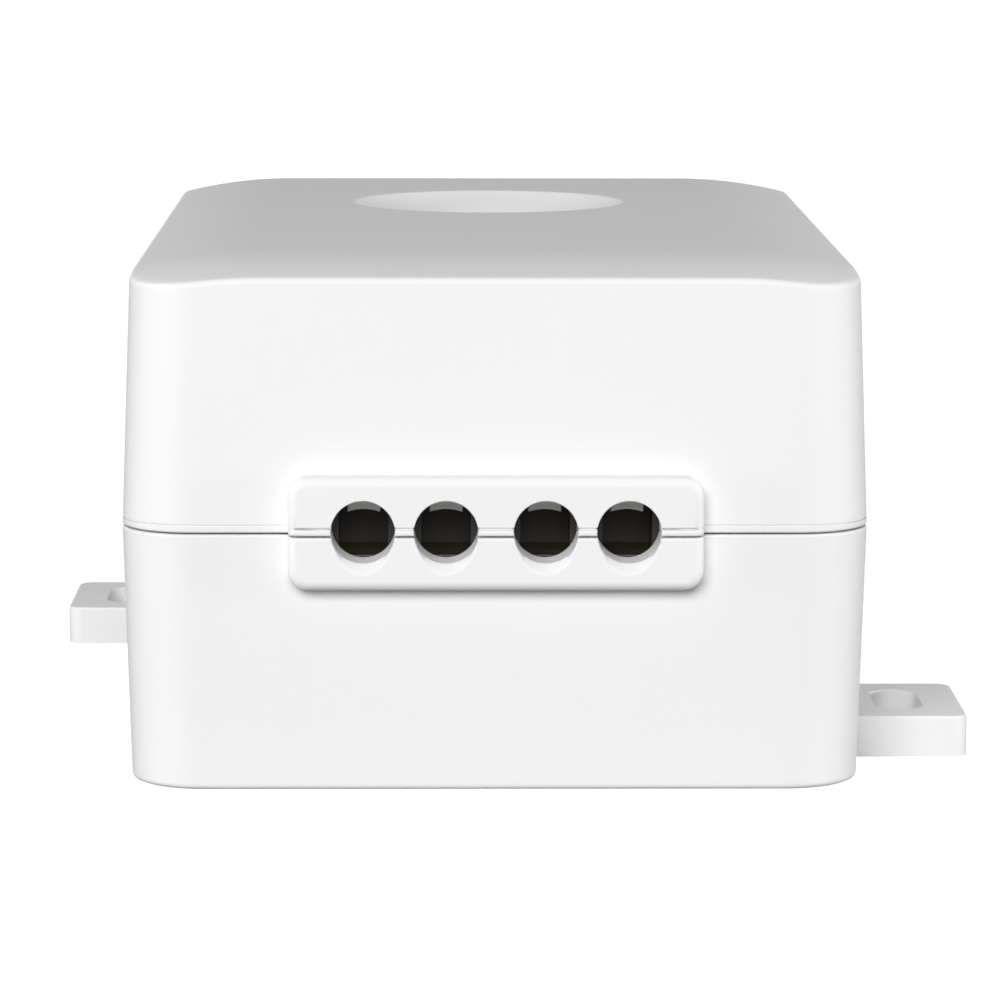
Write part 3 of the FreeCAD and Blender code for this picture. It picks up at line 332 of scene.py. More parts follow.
def solder_mask(name, colour, track_mm):
    """Glass-fibre laminate under a glossy solder mask: tracks show lighter and a little raised."""
    material, tree, place, shader = start_material(name, colour)
    tracks = add(
        tree, "ShaderNodeTexVoronoi", {"Vector": place, "Scale": per_mm(track_mm), "Randomness": 0.15},
        distance="CHEBYCHEV", feature="F1",
    ).outputs["Distance"]
    copper = add(
        tree, "ShaderNodeMapRange", {"Value": tracks, "From Min": 0.42, "From Max": 0.46},
    ).outputs["Result"]
    weave = noise(tree, place, 0.6, Detail=2.0)
    skin(
        tree, shader, tint(tree, copper, colour, 0.75, 1.25), (weave, 0.22, 0.36), (copper, 0.035, 0.6),
        {"Coat Weight": 0.25, "Coat Roughness": 0.15},
    )
    return material


MATERIALS = {}


def make_materials():
    """One material for each material slot of the record."""
    shells = bpy.context.scene.touch_switch_shells
    parts = bpy.context.scene.touch_switch_parts
    MATERIALS.update({
        "white_plastic": moulded_plastic(
            "moulded_white_ABS", tuple(shells.plastic), shells.roughness,
            grain_mm=0.16, grain_depth_mm=0.006, mottle=0.012, gloss=0.06,
        ),
        "black_plastic": moulded_plastic(
            "moulded_black_polyamide", tuple(parts.terminal), 0.5, grain_mm=0.2, grain_depth_mm=0.012,
        ),
        "relay_plastic": moulded_plastic(
            "moulded_blue_PBT", tuple(parts.relay), 0.38, grain_mm=0.2, grain_depth_mm=0.01,
        ),
        "yellow_plastic": moulded_plastic(
            "moulded_yellow_PBT_box", tuple(parts.film), 0.3, grain_mm=0.25, grain_depth_mm=0.008,
        ),
        "varistor_lacquer": lacquered("dipped_epoxy_lacquer", tuple(parts.varistor), 0.28, 1.6),
        "capacitor_sleeve": lacquered("shrunk_PVC_sleeve", tuple(parts.sleeve), 0.3, 2.5),
        "board_laminate": solder_mask("green_solder_mask", tuple(parts.board), 2.4),
        "radio_laminate": solder_mask("blue_solder_mask", tuple(parts.radio), 1.2),
        "steel": plated_metal("zinc_plated_steel", linear("#C9C6BF"), 0.32),
        # Painted shade: the tinned brass is given a dull, dark colour so that the contact frames seen inside
        # the wire entries look shaded
        "brass": plated_metal("tinned_brass_darkened_as_shade", linear("#8E836A"), 0.5),
        "copper_alloy": plated_metal("phosphor_bronze", linear("#D09A62"), 0.3),
    })


# Modelling helpers, in millimetres


def select_only(piece):
    """Makes this object the only selected and the active one."""
    if bpy.context.object and bpy.context.object.mode != "OBJECT":
        bpy.ops.object.mode_set(mode="OBJECT")
    bpy.ops.object.select_all(action="DESELECT")
    piece.select_set(True)
    bpy.context.view_layer.objects.active = piece


def new_piece(name):
    """Names the primitive that was just added and moves its place into its mesh."""
    piece = bpy.context.object
    piece.name = name
    select_only(piece)
    bpy.ops.object.transform_apply(location=True, rotation=True, scale=True)
    return piece


def select_all_points(piece):
    """Opens a piece in edit mode with all of its mesh selected."""
    select_only(piece)
    bpy.ops.object.mode_set(mode="EDIT")
    bpy.ops.mesh.select_all(action="SELECT")


def block(name, low, high):
    """A block between two corners."""
    bpy.ops.object.select_all(action="DESELECT")
    middle = [(a + b) / 2 * MM for a, b in zip(low, high)]
    size = [(b - a) * MM for a, b in zip(low, high)]
    bpy.ops.mesh.primitive_cube_add(size=1.0, location=middle, scale=size)
    return new_piece(name)


def rod(name, radius, start, end, sides=64, end_radius=None):
    """A round bar or cone from one point to another."""
    bpy.ops.object.select_all(action="DESELECT")
    way = Vector(end) - Vector(start)
    bpy.ops.mesh.primitive_cone_add(
        vertices=sides, radius1=radius * MM, radius2=(radius if end_radius is None else end_radius) * MM,
        depth=way.length * MM, location=(Vector(start) + way / 2) * MM,
        rotation=way.to_track_quat("Z", "Y").to_euler(),
    )
    return new_piece(name)


def upright_rod(name, radius, x, y, low, high, sides=64):
    """A round bar that stands at x and y, from low to high."""
    return rod(name, radius, (x, y, low), (x, y, high), sides)


def at_case_screws(name, radius, low, high):
    """A round cutter at each of the two case screws."""
    return [upright_rod(name, radius, side * BOSS_SIDE, side * BOSS_ALONG, low, high) for side in SIDES]


def pick(piece, kind, test, sharper_than=None):
    """Selects, in edit mode, the VERT, EDGE or FACE whose points in millimetres pass the test."""
    select_only(piece)
    bpy.ops.object.mode_set(mode="EDIT")
    bpy.ops.mesh.select_mode(type=kind)
    bpy.ops.mesh.select_all(action="DESELECT")
    if sharper_than:
        bpy.ops.mesh.edges_select_sharp(sharpness=math.radians(sharper_than))
    bpy.ops.object.mode_set(mode="OBJECT")
    mesh = piece.data
    items = {"VERT": mesh.vertices, "EDGE": mesh.edges, "FACE": mesh.polygons}[kind]
    for item in items:
        corners = [item.index] if kind == "VERT" else item.vertices
        points = [mesh.vertices[corner].co / MM for corner in corners]
        item.select = test(points) and (item.select or not sharper_than)
    bpy.ops.object.mode_set(mode="EDIT")


def round_edges(piece, radius, segments, test, sharper_than=None):
    """Rounds the edges that pass the test."""
    pick(piece, "EDGE", test, sharper_than)
    bpy.ops.mesh.bevel(offset=radius * MM, offset_type="OFFSET", segments=segments, clamp_overlap=False)
    bpy.ops.object.mode_set(mode="OBJECT")
    return piece


def upright(reach):
    """A test for edges that rise by more than this."""
    return lambda points: abs(points[0].z - points[1].z) > reach


def shift(piece, step, test):
    """Moves the points that pass the test by this step in millimetres."""
    pick(piece, "VERT", test)
    bpy.ops.transform.translate(value=[part * MM for part in step])
    bpy.ops.object.mode_set(mode="OBJECT")
    return piece


def apply_modifier(piece, kind, **settings):
    """Adds a modifier with its settings and applies it at once."""
    select_only(piece)
    modifier = piece.modifiers.new(kind.title(), kind)
    for name, setting in settings.items():
        setattr(modifier, name, setting)
    bpy.ops.object.modifier_apply(modifier=modifier.name)


def join(pieces):
    """Makes one object of several that don't touch."""
    select_only(pieces[0])
    for piece in pieces[1:]:
        piece.select_set(True)
    bpy.ops.object.join()
    return pieces[0]


def combine(piece, other, operation):
    """Joins (UNION), cuts (DIFFERENCE) or crosses (INTERSECT) a piece with another, which is used up."""
    apply_modifier(piece, "BOOLEAN", object=other, operation=operation, solver="EXACT")
    bpy.data.objects.remove(other, do_unlink=True)
    return piece


def clean(piece):
    """Merges the points that booleans left a hair apart."""
    select_all_points(piece)
    bpy.ops.mesh.remove_doubles(threshold=0.0012 * MM)
    bpy.ops.mesh.normals_make_consistent(inside=False)
    bpy.ops.object.mode_set(mode="OBJECT")
    return piece


def close_ends(piece):
    """Merges points that coincide, fills the open ends and points every face outwards."""
    select_all_points(piece)
    bpy.ops.mesh.remove_doubles(threshold=0.0005 * MM)
    bpy.ops.mesh.fill_holes(sides=0)
    bpy.ops.mesh.select_all(action="SELECT")
    bpy.ops.mesh.normals_make_consistent(inside=False)
    bpy.ops.object.mode_set(mode="OBJECT")
    return piece


def placed_copy(piece, name, matrix):
    """A copy with its own mesh, put where the matrix takes it."""
    copy = bpy.data.objects.new(name, piece.data.copy())
    bpy.context.scene.collection.objects.link(copy)
    copy.data.transform(matrix)
    return copy


def moved_copy(piece, name, step):
    """A copy moved by this step in millimetres."""
    return placed_copy(piece, name, Matrix.Translation(Vector(step) * MM))


def copies(piece, steps):
    """One object of copies of a piece, each moved by one of the steps in millimetres."""
    made = [moved_copy(piece, f"{piece.name}_copy", step) for step in steps]
    bpy.data.objects.remove(piece, do_unlink=True)
    return join(made)


def half_turn_copy(piece, x=0.0, y=0.0):
    """A copy turned half round the upright line at this place, by default the box's middle."""
    step = Matrix.Translation(Vector((2 * x, 2 * y, 0)) * MM)
    return placed_copy(piece, f"{piece.name}_copy", step @ Matrix.Rotation(math.pi, 4, "Z"))


def shade(piece, angle):
    """Smooth curves and flat faces: normals follow the large faces, and sharp edges stay."""
    select_only(piece)
    bpy.ops.object.shade_smooth_by_angle(angle=math.radians(angle))
    apply_modifier(piece, "WEIGHTED_NORMAL", keep_sharp=True, weight=100)


def dressed_copy(node, edge=0.0):
    """A merged copy of a CAD node with its flat faces whole and its sharp edges a little rounded."""
    source = frame["nodes"][node]
    piece = placed_copy(source, f"{node}_dressed", Matrix.Identity(4))
    select_all_points(piece)
    bpy.ops.mesh.remove_doubles(threshold=0.001 * MM)
    bpy.ops.mesh.dissolve_limited(angle_limit=math.radians(0.4))
    bpy.ops.object.mode_set(mode="OBJECT")
    if edge:
        apply_modifier(
            piece, "BEVEL", width=edge, segments=2, limit_method="ANGLE", angle_limit=math.radians(35),
            use_clamp_overlap=True, harden_normals=False,
        )
    shade(piece, PART_SHARP)
    return piece


def body_of(node):
    """The body of the record that holds this node."""
    return next(body for body, nodes in frame["record"]["behaviour"]["bodies"].items() if node in nodes)


def slot_of(node):
    """The material slot that the record gives this node."""
    return next(part["material_slot"] for part in frame["record"]["subparts"] if part["node"] == node)


def finish_piece(piece, node, slot=None, replaces=True):
    """Gives a piece its material and body; it stands for the node unless it only adds to it."""
    slot = slot or slot_of(node)
    piece.data.materials.clear()
    piece.data.materials.append(MATERIALS[slot])
    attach(piece, body_of(node))
    if replaces:
        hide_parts(node)
    return piece


def finish_new(piece, node, slot=None, replaces=True, angle=PART_SHARP):
    """Shades a newly modelled piece and gives it its material and body."""
    shade(piece, angle)
    return finish_piece(piece, node, slot, replaces)


def dress(node, edge=0.0):
    """Puts a finished copy in the place of a CAD node whose shape is right as it is."""
    finish_piece(dressed_copy(node, edge), node)


# Shells


def draw_in(z, draft):
    """How far a drafted side stands inside its place at the parting line, at this height."""
    return (z - PARTING) * math.tan(math.radians(draft))


def drafted_block(name, inset, low, high, draft, corner, segments=20):
    """A block with the box's rounded outline, inset from its sides, which narrows upwards by its draft."""
    piece = block(name, (-1, -1, low), (1, 1, high))
    for z in (low, high):
        narrower = inset + draw_in(z, draft)
        pick(piece, "VERT", lambda points: abs(points[0].z - z) < 0.01)
        bpy.ops.transform.resize(
            value=(HALF_WIDTH - narrower, HALF_DEPTH - narrower, 1.0), center_override=(0, 0, 0),
        )
        bpy.ops.object.mode_set(mode="OBJECT")
    return round_edges(piece, corner, segments, upright(0.5 * (high - low)))


def outline(inset):
    """Points round the box's outline at this inset, in the same order and number at every inset."""
    middle_x, middle_y = HALF_WIDTH - inset - CORNER, HALF_DEPTH - inset - CORNER
    quarter = [
        (HALF_WIDTH - inset, FLAT_Y + (middle_y - FLAT_Y) * step / SIDE_STEPS) for step in range(SIDE_STEPS)
    ]
    for step in range(ARC_STEPS + 1):
        angle = math.radians(90 * step / ARC_STEPS)
        quarter.append((middle_x + CORNER * math.cos(angle), middle_y + CORNER * math.sin(angle)))
    quarter += [
        (middle_x + (FLAT_X - middle_x) * step / SIDE_STEPS, HALF_DEPTH - inset)
        for step in range(1, SIDE_STEPS + 1)
    ]
    half = quarter + [(-x, y) for x, y in reversed(quarter)]
    return half + [(-x, -y) for x, y in half]


def level_ring(z, inset, draft):
    """The outline at one height, inset from the drafted side."""
    return [(x, y, z) for x, y in outline(inset + draw_in(z, draft))]


def soft_corner(start, corner, end, steps=4):
    """Points that round a corner from start to end, both included."""
    points = []
    for step in range(steps + 1):
        t = step / steps
        points.append(tuple(
            (1 - t) ** 2 * a + 2 * t * (1 - t) * b + t * t * c for a, b, c in zip(start, corner, end)
        ))
    return points


def crown_point(x, y):
    """The point of the crowned top above this place: flat in the middle, falling towards the walls."""
    outside = math.hypot(max(abs(x) - FLAT_X, 0), max(abs(y) - FLAT_Y, 0))
    return (x, y, HEIGHT - CROWN_RADIUS + math.sqrt(CROWN_RADIUS ** 2 - outside ** 2))


def crown_rings():
    """Rings from just under the cover's top edge, round it and over the crown to its flat middle."""
    columns = []
    for index, (x, y) in enumerate(outline(TOP_INSET)):
        for _ in range(3):
            x, y = outline(draw_in(crown_point(x, y)[2], COVER_DRAFT))[index]
        edge = crown_point(x, y)
        low = edge[2] - EDGE_ROUND
        low_x, low_y = outline(draw_in(low, COVER_DRAFT))[index]
        inner_x, inner_y = max(-FLAT_X, min(FLAT_X, x)), max(-FLAT_Y, min(FLAT_Y, y))
        reach = math.hypot(inner_x - x, inner_y - y)
        near = [(a + (b - a) * EDGE_ROUND / reach) for a, b in ((x, inner_x), (y, inner_y))]
        column = soft_corner((low_x, low_y, low), edge, crown_point(*near), 5)
        for step in range(1, CROWN_STEPS + 1):
            t = step / CROWN_STEPS
            column.append(crown_point(near[0] + (inner_x - near[0]) * t, near[1] + (inner_y - near[1]) * t))
        columns.append(column)
    return [list(ring) for ring in zip(*columns)]


def ring_solid(name, rings):
    """A closed solid through rings of points: a grid is laid through them, its seam merged, its ends filled.

    A grid's points and faces always come in the same order, so the booleans give the same mesh each run.
    """
    bpy.ops.object.select_all(action="DESELECT")
    bpy.ops.mesh.primitive_grid_add(x_subdivisions=len(rings[0]), y_subdivisions=len(rings) - 1)
    piece = new_piece(name)
    points = [point for ring in rings for point in [*ring, ring[0]]]
    for vertex, point in zip(piece.data.vertices, points, strict=True):
        vertex.co = Vector(point) * MM
    return close_ends(piece)


def turned(name, middle, low, profile, sides=64):
    """A round solid about the upright line at its middle, through these radii and heights above low."""
    x, y = middle
    turns = [math.tau * step / sides for step in range(sides)]
    return ring_solid(name, [
        [(x + radius * math.cos(turn), y + radius * math.sin(turn), low + rise) for turn in turns]
        for radius, rise in profile
    ])


def cover_skin():
    """The cover's outside: a rounded lower edge, drafted sides and the crowned top."""
    low = PARTING + SHELL_GAP
    profile = soft_corner((0.15, low), (0, low), (0, low + 0.15))
    rings = [level_ring(z, inset, COVER_DRAFT) for inset, z in profile]
    return ring_solid("cover_shell", rings + crown_rings())


def base_skin():
    """The base's outside: a rounded foot edge, drafted sides and a rounded upper edge."""
    profile = soft_corner((0.4, 0.0), (0, 0.0), (0, 0.4))
    profile += soft_corner((0, PARTING - 0.15), (0, PARTING), (0.15, PARTING))
    return ring_solid("bottom_shell", [level_ring(z, inset, -BASE_DRAFT) for inset, z in profile])


def dish_cutter():
    """The finger dish: a flat floor, sloping sides and a soft rim, as radii and heights from the top."""
    profile = soft_corner((4.2, -DISH_DEPTH), (DISH_FLOOR, -DISH_DEPTH), (6.5, -1.75), 6)
    profile += soft_corner((9.17, -0.081), (DISH_RADIUS, 0.0), (9.5, 0.006), 3)
    profile.append((9.5, 1.0))
    return turned("dish", (0, DISH_ALONG), HEIGHT, profile, 144)


def bead_groove():
    """The fine groove that sets off the bead along the cover's lower edge and across its pad."""
    low, high = PARTING + SHELL_GAP + BEAD, PARTING + SHELL_GAP + BEAD + 0.1
    far_x, far_y = HALF_WIDTH + 9, HALF_DEPTH + 9
    plate = block("bead_groove", (-far_x, -far_y, low), (far_x, far_y, high))
    inside = drafted_block("groove_inside", 0.09, low - 1, high + 1, COVER_DRAFT, CORNER)
    reach = PAD_HALF_WIDTH - 0.09
    pad = block("groove_pad", (-reach, PAD_FRONT + 0.09, low - 1.5), (reach, PAD_FRONT + 3, high + 1.5))
    return combine(plate, combine(inside, pad, "UNION"), "DIFFERENCE")


def entry_pad(name, low, high):
    """Half of the raised pad round the wire entries, with soft front edges."""
    outer, inner = (high, low) if low >= PARTING else (low, high)
    back = PAD_FRONT + 2.2
    piece = block(name, (-PAD_HALF_WIDTH, PAD_FRONT, low), (PAD_HALF_WIDTH, back, high))
    round_edges(piece, 1.2, 8, lambda points: all(abs(p.z - outer) < 0.01 for p in points)
                and abs(points[0].y - points[1].y) > 1)
    round_edges(piece, 0.6, 6, lambda points: all(abs(p.y - PAD_FRONT) < 0.01 for p in points)
                and any(abs(p.z - inner) > 0.01 for p in points))
    return round_edges(piece, 0.15, 3, lambda points: all(abs(p.z - inner) < 0.01 for p in points)
                       and any(p.y < back - 0.01 for p in points))


def entry_bores():
    """The four straight wire entries, as cutters."""
    return [
        rod("entry_bore", ENTRY_RADIUS, (x, PAD_FRONT - 0.5, WIRE_HEIGHT), (x, PAD_FRONT + 4.6, WIRE_HEIGHT))
        for x in WIRE_PLACES
    ]


def lip_ring(outer, inner, low, high, spare):
    """The ring of the lip between the shells, which stops behind the entry pad."""
    ring = drafted_block("lip_ring", outer, low, high, 0.0, CORNER - outer)
    core = drafted_block("lip_core", inner, low - 1, high + 1, 0.0, CORNER - inner)
    ring = combine(ring, core, "DIFFERENCE")
    reach = PAD_HALF_WIDTH - spare
    gap = block("lip_gap", (-reach, -HALF_DEPTH - 3, low - 2), (reach, -HALF_DEPTH + 3.2, high + 2))
    return combine(ring, gap, "DIFFERENCE")


def corner_boss(low, high, inset=LIP_INSET):
    """The corner block for a case screw, at the back on the right; its outer sides lie inside the walls."""
    inner_x, inner_y = BOSS_SIDE - BOSS_RADIUS, BOSS_ALONG - BOSS_RADIUS
    outer_x, outer_y = HALF_WIDTH - inset, HALF_DEPTH - inset
    piece = block("corner_boss", (inner_x, inner_y, low), (outer_x, outer_y, high))

    def upright_at(x, y):
        return lambda points: all(abs(p.x - x) < 0.01 and abs(p.y - y) < 0.01 for p in points)

    round_edges(piece, BOSS_RADIUS, 16, upright_at(inner_x, inner_y))
    return round_edges(piece, CORNER - inset, 16, upright_at(outer_x, outer_y))


def soften_entries(piece):
    """A hair of a round where the wire entries break out of the pad."""

    def round_an_entry(points):
        if any(p.y > PAD_FRONT + 0.03 for p in points):
            return False
        return any(all(math.hypot(p.x - x, p.z - WIRE_HEIGHT) < 2.6 for p in points) for x in WIRE_PLACES)

    return round_edges(piece, 0.1, 2, round_an_entry, sharper_than=40)


def model_cover():
    """The cover: its skin, pad, bead groove and cavity, then bosses, dish, lip, screw holes and entries."""
    low = PARTING + SHELL_GAP
    cover = combine(cover_skin(), entry_pad("cover_pad", low, PAD_TOP), "UNION")
    cover = combine(cover, bead_groove(), "DIFFERENCE")
    cavity = drafted_block("cover_cavity", WALL, PARTING - 0.5, CEILING, COVER_DRAFT, CORNER - WALL, 12)
    cover = combine(cover, cavity, "DIFFERENCE")
    under_dish = rod(
        "under_dish", DISH_FLAT, (0, DISH_ALONG, CEILING - DISH_DEPTH), (0, DISH_ALONG, CEILING + WALL / 2),
        96, DISH_RADIUS + WALL,
    )
    boss = corner_boss(low, HEIGHT - WALL * 7 / 8)
    cover = combine(cover, join([under_dish, boss, half_turn_copy(boss)]), "UNION")
    cover = combine(cover, dish_cutter(), "DIFFERENCE")
    ring = lip_ring(LIP_INSET, WALL + LIP_GAP, PARTING - 0.5, PARTING + LIP + LIP_GAP, LIP_GAP)
    cover = combine(cover, ring, "DIFFERENCE")
    pilots = at_case_screws("pilot", PILOT_RADIUS, PARTING - 0.5, PILOT_TOP)
    cover = combine(cover, join(pilots + entry_bores()), "DIFFERENCE")
    return clean(soften_entries(cover))


def model_lug():
    """The slotted lug on the right, with its upper edges a little rounded."""
    piece = block("lug", (HALF_WIDTH - WALL, LUG_NEAR, 0), (LUG_TIP, LUG_FAR, LUG_THICKNESS))
    round_edges(piece, 1.0, 8, lambda points: all(abs(p.x - LUG_TIP) < 0.01 for p in points)
                and abs(points[0].z - points[1].z) > 1)
    return round_edges(piece, 0.2, 3, lambda points: all(abs(p.z - LUG_THICKNESS) < 0.01 for p in points)
                       and any(p.x > HALF_WIDTH for p in points))


def slot_cutter():
    """A long round-ended cutter for the right lug's slot."""
    middle = (LUG_NEAR + LUG_FAR) / 2
    piece = upright_rod("slot", SLOT_RADIUS, SLOT_SIDE, middle, -1, LUG_THICKNESS + 1, 48)
    for side in SIDES:
        shift(piece, (0, side * SLOT_HALF_STRAIGHT, 0), lambda points: side * (points[0].y - middle) > 0.01)
    return piece


def snap_hook(side):
    """An upright arm beside the board, with a sloping nose over the board's edge."""
    outer, inner = side * HOOK_OUTER, side * HOOK_INNER
    tip, root = side * NOSE_TIP, side * NOSE_ROOT
    arm = block("hook", (min(outer, inner), HOOK_NEAR, FLOOR / 2), (max(outer, inner), HOOK_FAR, NOSE_HIGH))
    nose = block("hook_nose", (min(tip, root), HOOK_NEAR, NOSE_LOW), (max(tip, root), HOOK_FAR, NOSE_HIGH))
    shift(
        nose, (side * NOSE_SLOPE, 0, 0),
        lambda points: abs(points[0].x - tip) < 0.01 and points[0].z > BOARD_TOP + 1,
    )
    return combine(arm, nose, "UNION")


def model_base():
    """The base: its skin, pad, lugs and cavity, then lip, bosses, posts, hooks, slots and holes."""
    lug = model_lug()
    outside = join([entry_pad("base_pad", PAD_BOTTOM, PARTING), lug, half_turn_copy(lug)])
    base = combine(base_skin(), outside, "UNION")
    cavity = drafted_block("base_cavity", WALL, FLOOR, PARTING + 0.5, -BASE_DRAFT, CORNER - WALL, 12)
    base = combine(base, cavity, "DIFFERENCE")
    ring = lip_ring(LIP_INSET + LIP_GAP, WALL + LIP_PROUD, PARTING - LIP, PARTING + LIP, -LIP_GAP)
    base = combine(base, ring, "UNION")
    boss = corner_boss(FLOOR / 2, PARTING, BASE_BOSS_INSET)
    post = block(
        "board_post", (POST_X - POST_HALF, POST_Y - POST_HALF, FLOOR / 2),
        (POST_X + POST_HALF, POST_Y + POST_HALF, BOARD_BOTTOM),
    )
    posts = copies(post, [(x, y, 0) for x in (-2 * POST_X, 0) for y in (-2 * POST_Y, 0)])
    inside = join([boss, half_turn_copy(boss), posts, *[snap_hook(side) for side in SIDES]])
    base = combine(base, inside, "UNION")
    slot = slot_cutter()
    sinks = at_case_screws("counterbore", SINK_RADIUS, -1, SINK_DEPTH)
    base = combine(base, join([slot, half_turn_copy(slot), *sinks, *entry_bores()]), "DIFFERENCE")
    shanks = at_case_screws("shank_hole", SHANK_RADIUS, SINK_DEPTH - 1, PARTING + 2)
    lean = ENTRY_RADIUS * 2 * math.sin(math.radians(45))
    centre = WIRE_HEIGHT - ENTRY_RADIUS - 0.6 + ENTRY_RADIUS / math.cos(math.radians(45))
    lips = [
        rod(
            "entry_lip", ENTRY_RADIUS,
            (x, PAD_FRONT - lean, centre - lean), (x, PAD_FRONT + lean, centre + lean),
        )
        for x in WIRE_PLACES
    ]
    base = combine(base, join(shanks + lips), "DIFFERENCE")
    return clean(soften_entries(base))


# Parts on the board


def board_body(name, middle, size, side_round, top_round, lift=0.0):
    """A block on the board at its middle, or lifted above it, with rounded upright and upper edges."""
    low, high = BOARD_TOP + lift, BOARD_TOP + lift + size[2]
    corners = [[place + sign * extent / 2 for place, extent in zip(middle, size)] for sign in SIDES]
    piece = block(name, (*corners[0], low), (*corners[1], high))
    round_edges(piece, side_round, 5, upright(size[2] / 2))
    return round_edges(piece, top_round, 4, lambda points: all(p.z > high - 0.01 for p in points))


def add_pins(piece, middle, places, top=0.5):
    """Adds the flat solder pins, which reach through the board, at these places from the part's middle."""
    x, y = middle
    pin = block("pin", (x - 0.4, y - 0.2, PIN_BOTTOM), (x + 0.4, y + 0.2, BOARD_TOP + top))
    return combine(piece, copies(pin, [(*place, 0) for place in places]), "UNION")


def sink_panel(piece, middle, size, border, depth):
    """Sinks a plain panel into the part's top, inside its border."""
    reach = [extent / 2 - border for extent in size[:2]]
    top = BOARD_TOP + size[2]
    low = [place - extent for place, extent in zip(middle, reach)]
    high = [place + extent for place, extent in zip(middle, reach)]
    panel = block("panel", (*low, top - depth), (*high, top + 1))
    round_edges(panel, 0.5, 4, upright(0.5))
    return combine(piece, panel, "DIFFERENCE")


def model_relay():
    """A closed relay: a case over a plinth, with a sunken top and a vent."""
    x, y = RELAY_MIDDLE
    relay = board_body("relay_case", RELAY_MIDDLE, (15.5, 19.0, 13.9), 0.6, 0.3, 1.4)
    relay = combine(relay, board_body("relay_plinth", RELAY_MIDDLE, (15.1, 18.6, 1.7), 0.5, 0.05), "UNION")
    relay = sink_panel(relay, RELAY_MIDDLE, RELAY_SIZE, 1.1, 0.2)
    vent = upright_rod("relay_vent", 0.6, x + 5.2, y - 7.0, BOARD_TOP + 14.4, BOARD_TOP + 16, 24)
    relay = combine(relay, vent, "DIFFERENCE")
    return add_pins(relay, RELAY_MIDDLE, [(-5.75, -7.5), (5.75, -7.5), (-5.75, 7.5), (5.75, 7.5), (0, -7.5)])


def model_power_module():
    """A potted power module: a box on four feet, with a sunken top."""
    x, y = POWER_MIDDLE
    module = board_body("power_case", POWER_MIDDLE, (14.0, 20.0, 11.0), 0.6, 0.4, 0.5)
    foot = block("power_foot", (x - 6.8, y - 9.8, BOARD_TOP), (x - 5.0, y - 8.0, BOARD_TOP + 0.8))
    module = combine(module, copies(foot, [(a, b, 0) for a in (0, 11.8) for b in (0, 17.8)]), "UNION")
    module = sink_panel(module, POWER_MIDDLE, POWER_SIZE, 0.9, 0.25)
    return add_pins(module, POWER_MIDDLE, [(-5, -8), (5, -8), (-5, 8), (5, 8)], 0.9)


def model_film_capacitor():
    """A film capacitor's box, raised between its two ends."""
    x, y = FILM_MIDDLE
    box = board_body("film_box", FILM_MIDDLE, FILM_SIZE, 0.5, 0.4)
    gap = block("film_gap", (x - 3.6, y - 5.2, BOARD_TOP - 1), (x + 3.6, y + 4.8, BOARD_TOP + 0.5))
    return add_pins(combine(box, gap, "DIFFERENCE"), FILM_MIDDLE, [(-4.5, 0), (4.5, 0)])


def model_varistor():
    """A dipped disc whose coat runs a little down its two pins."""
    x, y = VARISTOR_MIDDLE
    centre, near, far = BOARD_TOP + 5.2, y - 1.8, y + 1.8
    disc = rod("varistor_disc", 4.0, (x, near, centre), (x, far, centre))
    for along in (near, far):
        round_edges(disc, 1.5, 8, lambda points: all(abs(p.y - along) < 0.01 for p in points))
    run = rod("varistor_run", 0.5, (x - 2, y, centre - 4.2), (x - 2, y, centre - 2.6), 24, 1.1)
    disc = combine(disc, copies(run, [(0, 0, 0), (4, 0, 0)]), "UNION")
    return add_pins(disc, VARISTOR_MIDDLE, [(-2, 0), (2, 0)], 4.0)


def model_thermal_fuse():
    """A round moulded case with a foot groove and a sunken top."""
    profile = [(3.9, 0.0), (3.9, 0.55), (4.2, 0.75)]
    profile += soft_corner((4.2, 7.2), (4.2, 8.0), (3.4, 8.0), 6) + [(2.9, 8.0), (2.75, 7.85)]
    fuse = turned("fuse_case", FUSE_MIDDLE, BOARD_TOP, profile)
    return add_pins(fuse, FUSE_MIDDLE, [(-2.1, 0), (2.1, 0)])


def model_bulk_capacitor():
    """An electrolytic capacitor's sleeve, drawn over the can's bead and top edge."""
    profile = [(2.5, 0.0), (2.5, 0.4)] + soft_corner((2.75, 0.4), (3.15, 0.4), (3.15, 0.8))
    profile += soft_corner((3.15, 1.2), (2.85, 1.4), (2.85, 1.7))
    profile += soft_corner((2.85, 1.8), (2.85, 2.1), (3.15, 2.3))
    profile += soft_corner((3.15, 10.4), (3.15, 11.0), (2.6, 11.0), 6) + [(2.35, 10.85)]
    can = turned("bulk_sleeve", BULK_MIDDLE, BOARD_TOP, profile)
    return add_pins(can, BULK_MIDDLE, [(-1.575, 0), (1.575, 0)])


def model_can_top():
    """The bare metal top inside the sleeve, scored with a cross."""
    x, y = BULK_MIDDLE
    high, reach, half = BOARD_TOP + 10.95, 1.8, 0.12
    top = upright_rod("can_top", 2.4, x, y, BOARD_TOP + 10.6, high, 48)
    score = block("can_score", (x - reach, y - half, high - 0.12), (x + reach, y + half, high + 1))
    across = block("can_score", (x - half, y - reach, high - 0.12), (x + half, y + reach, high + 1))
    return combine(top, combine(score, across, "UNION"), "DIFFERENCE")


def model_radio_board():
    """The radio's board, with half-round contacts cut into its two long edges."""
    board = block("radio_board_new", (RADIO_LEFT, RADIO_NEAR, BOARD_TOP), (RADIO_RIGHT, RADIO_FAR, RADIO_TOP))
    contact = upright_rod("contact_cut", 0.3, RADIO_LEFT, RADIO_NEAR + 1.4, BOARD_TOP - 1, RADIO_TOP + 1, 16)
    steps = [(x, LEG_PITCH * step, 0) for x in (0, RADIO_RIGHT - RADIO_LEFT) for step in range(8)]
    cuts = copies(contact, steps)
    return combine(board, cuts, "DIFFERENCE")


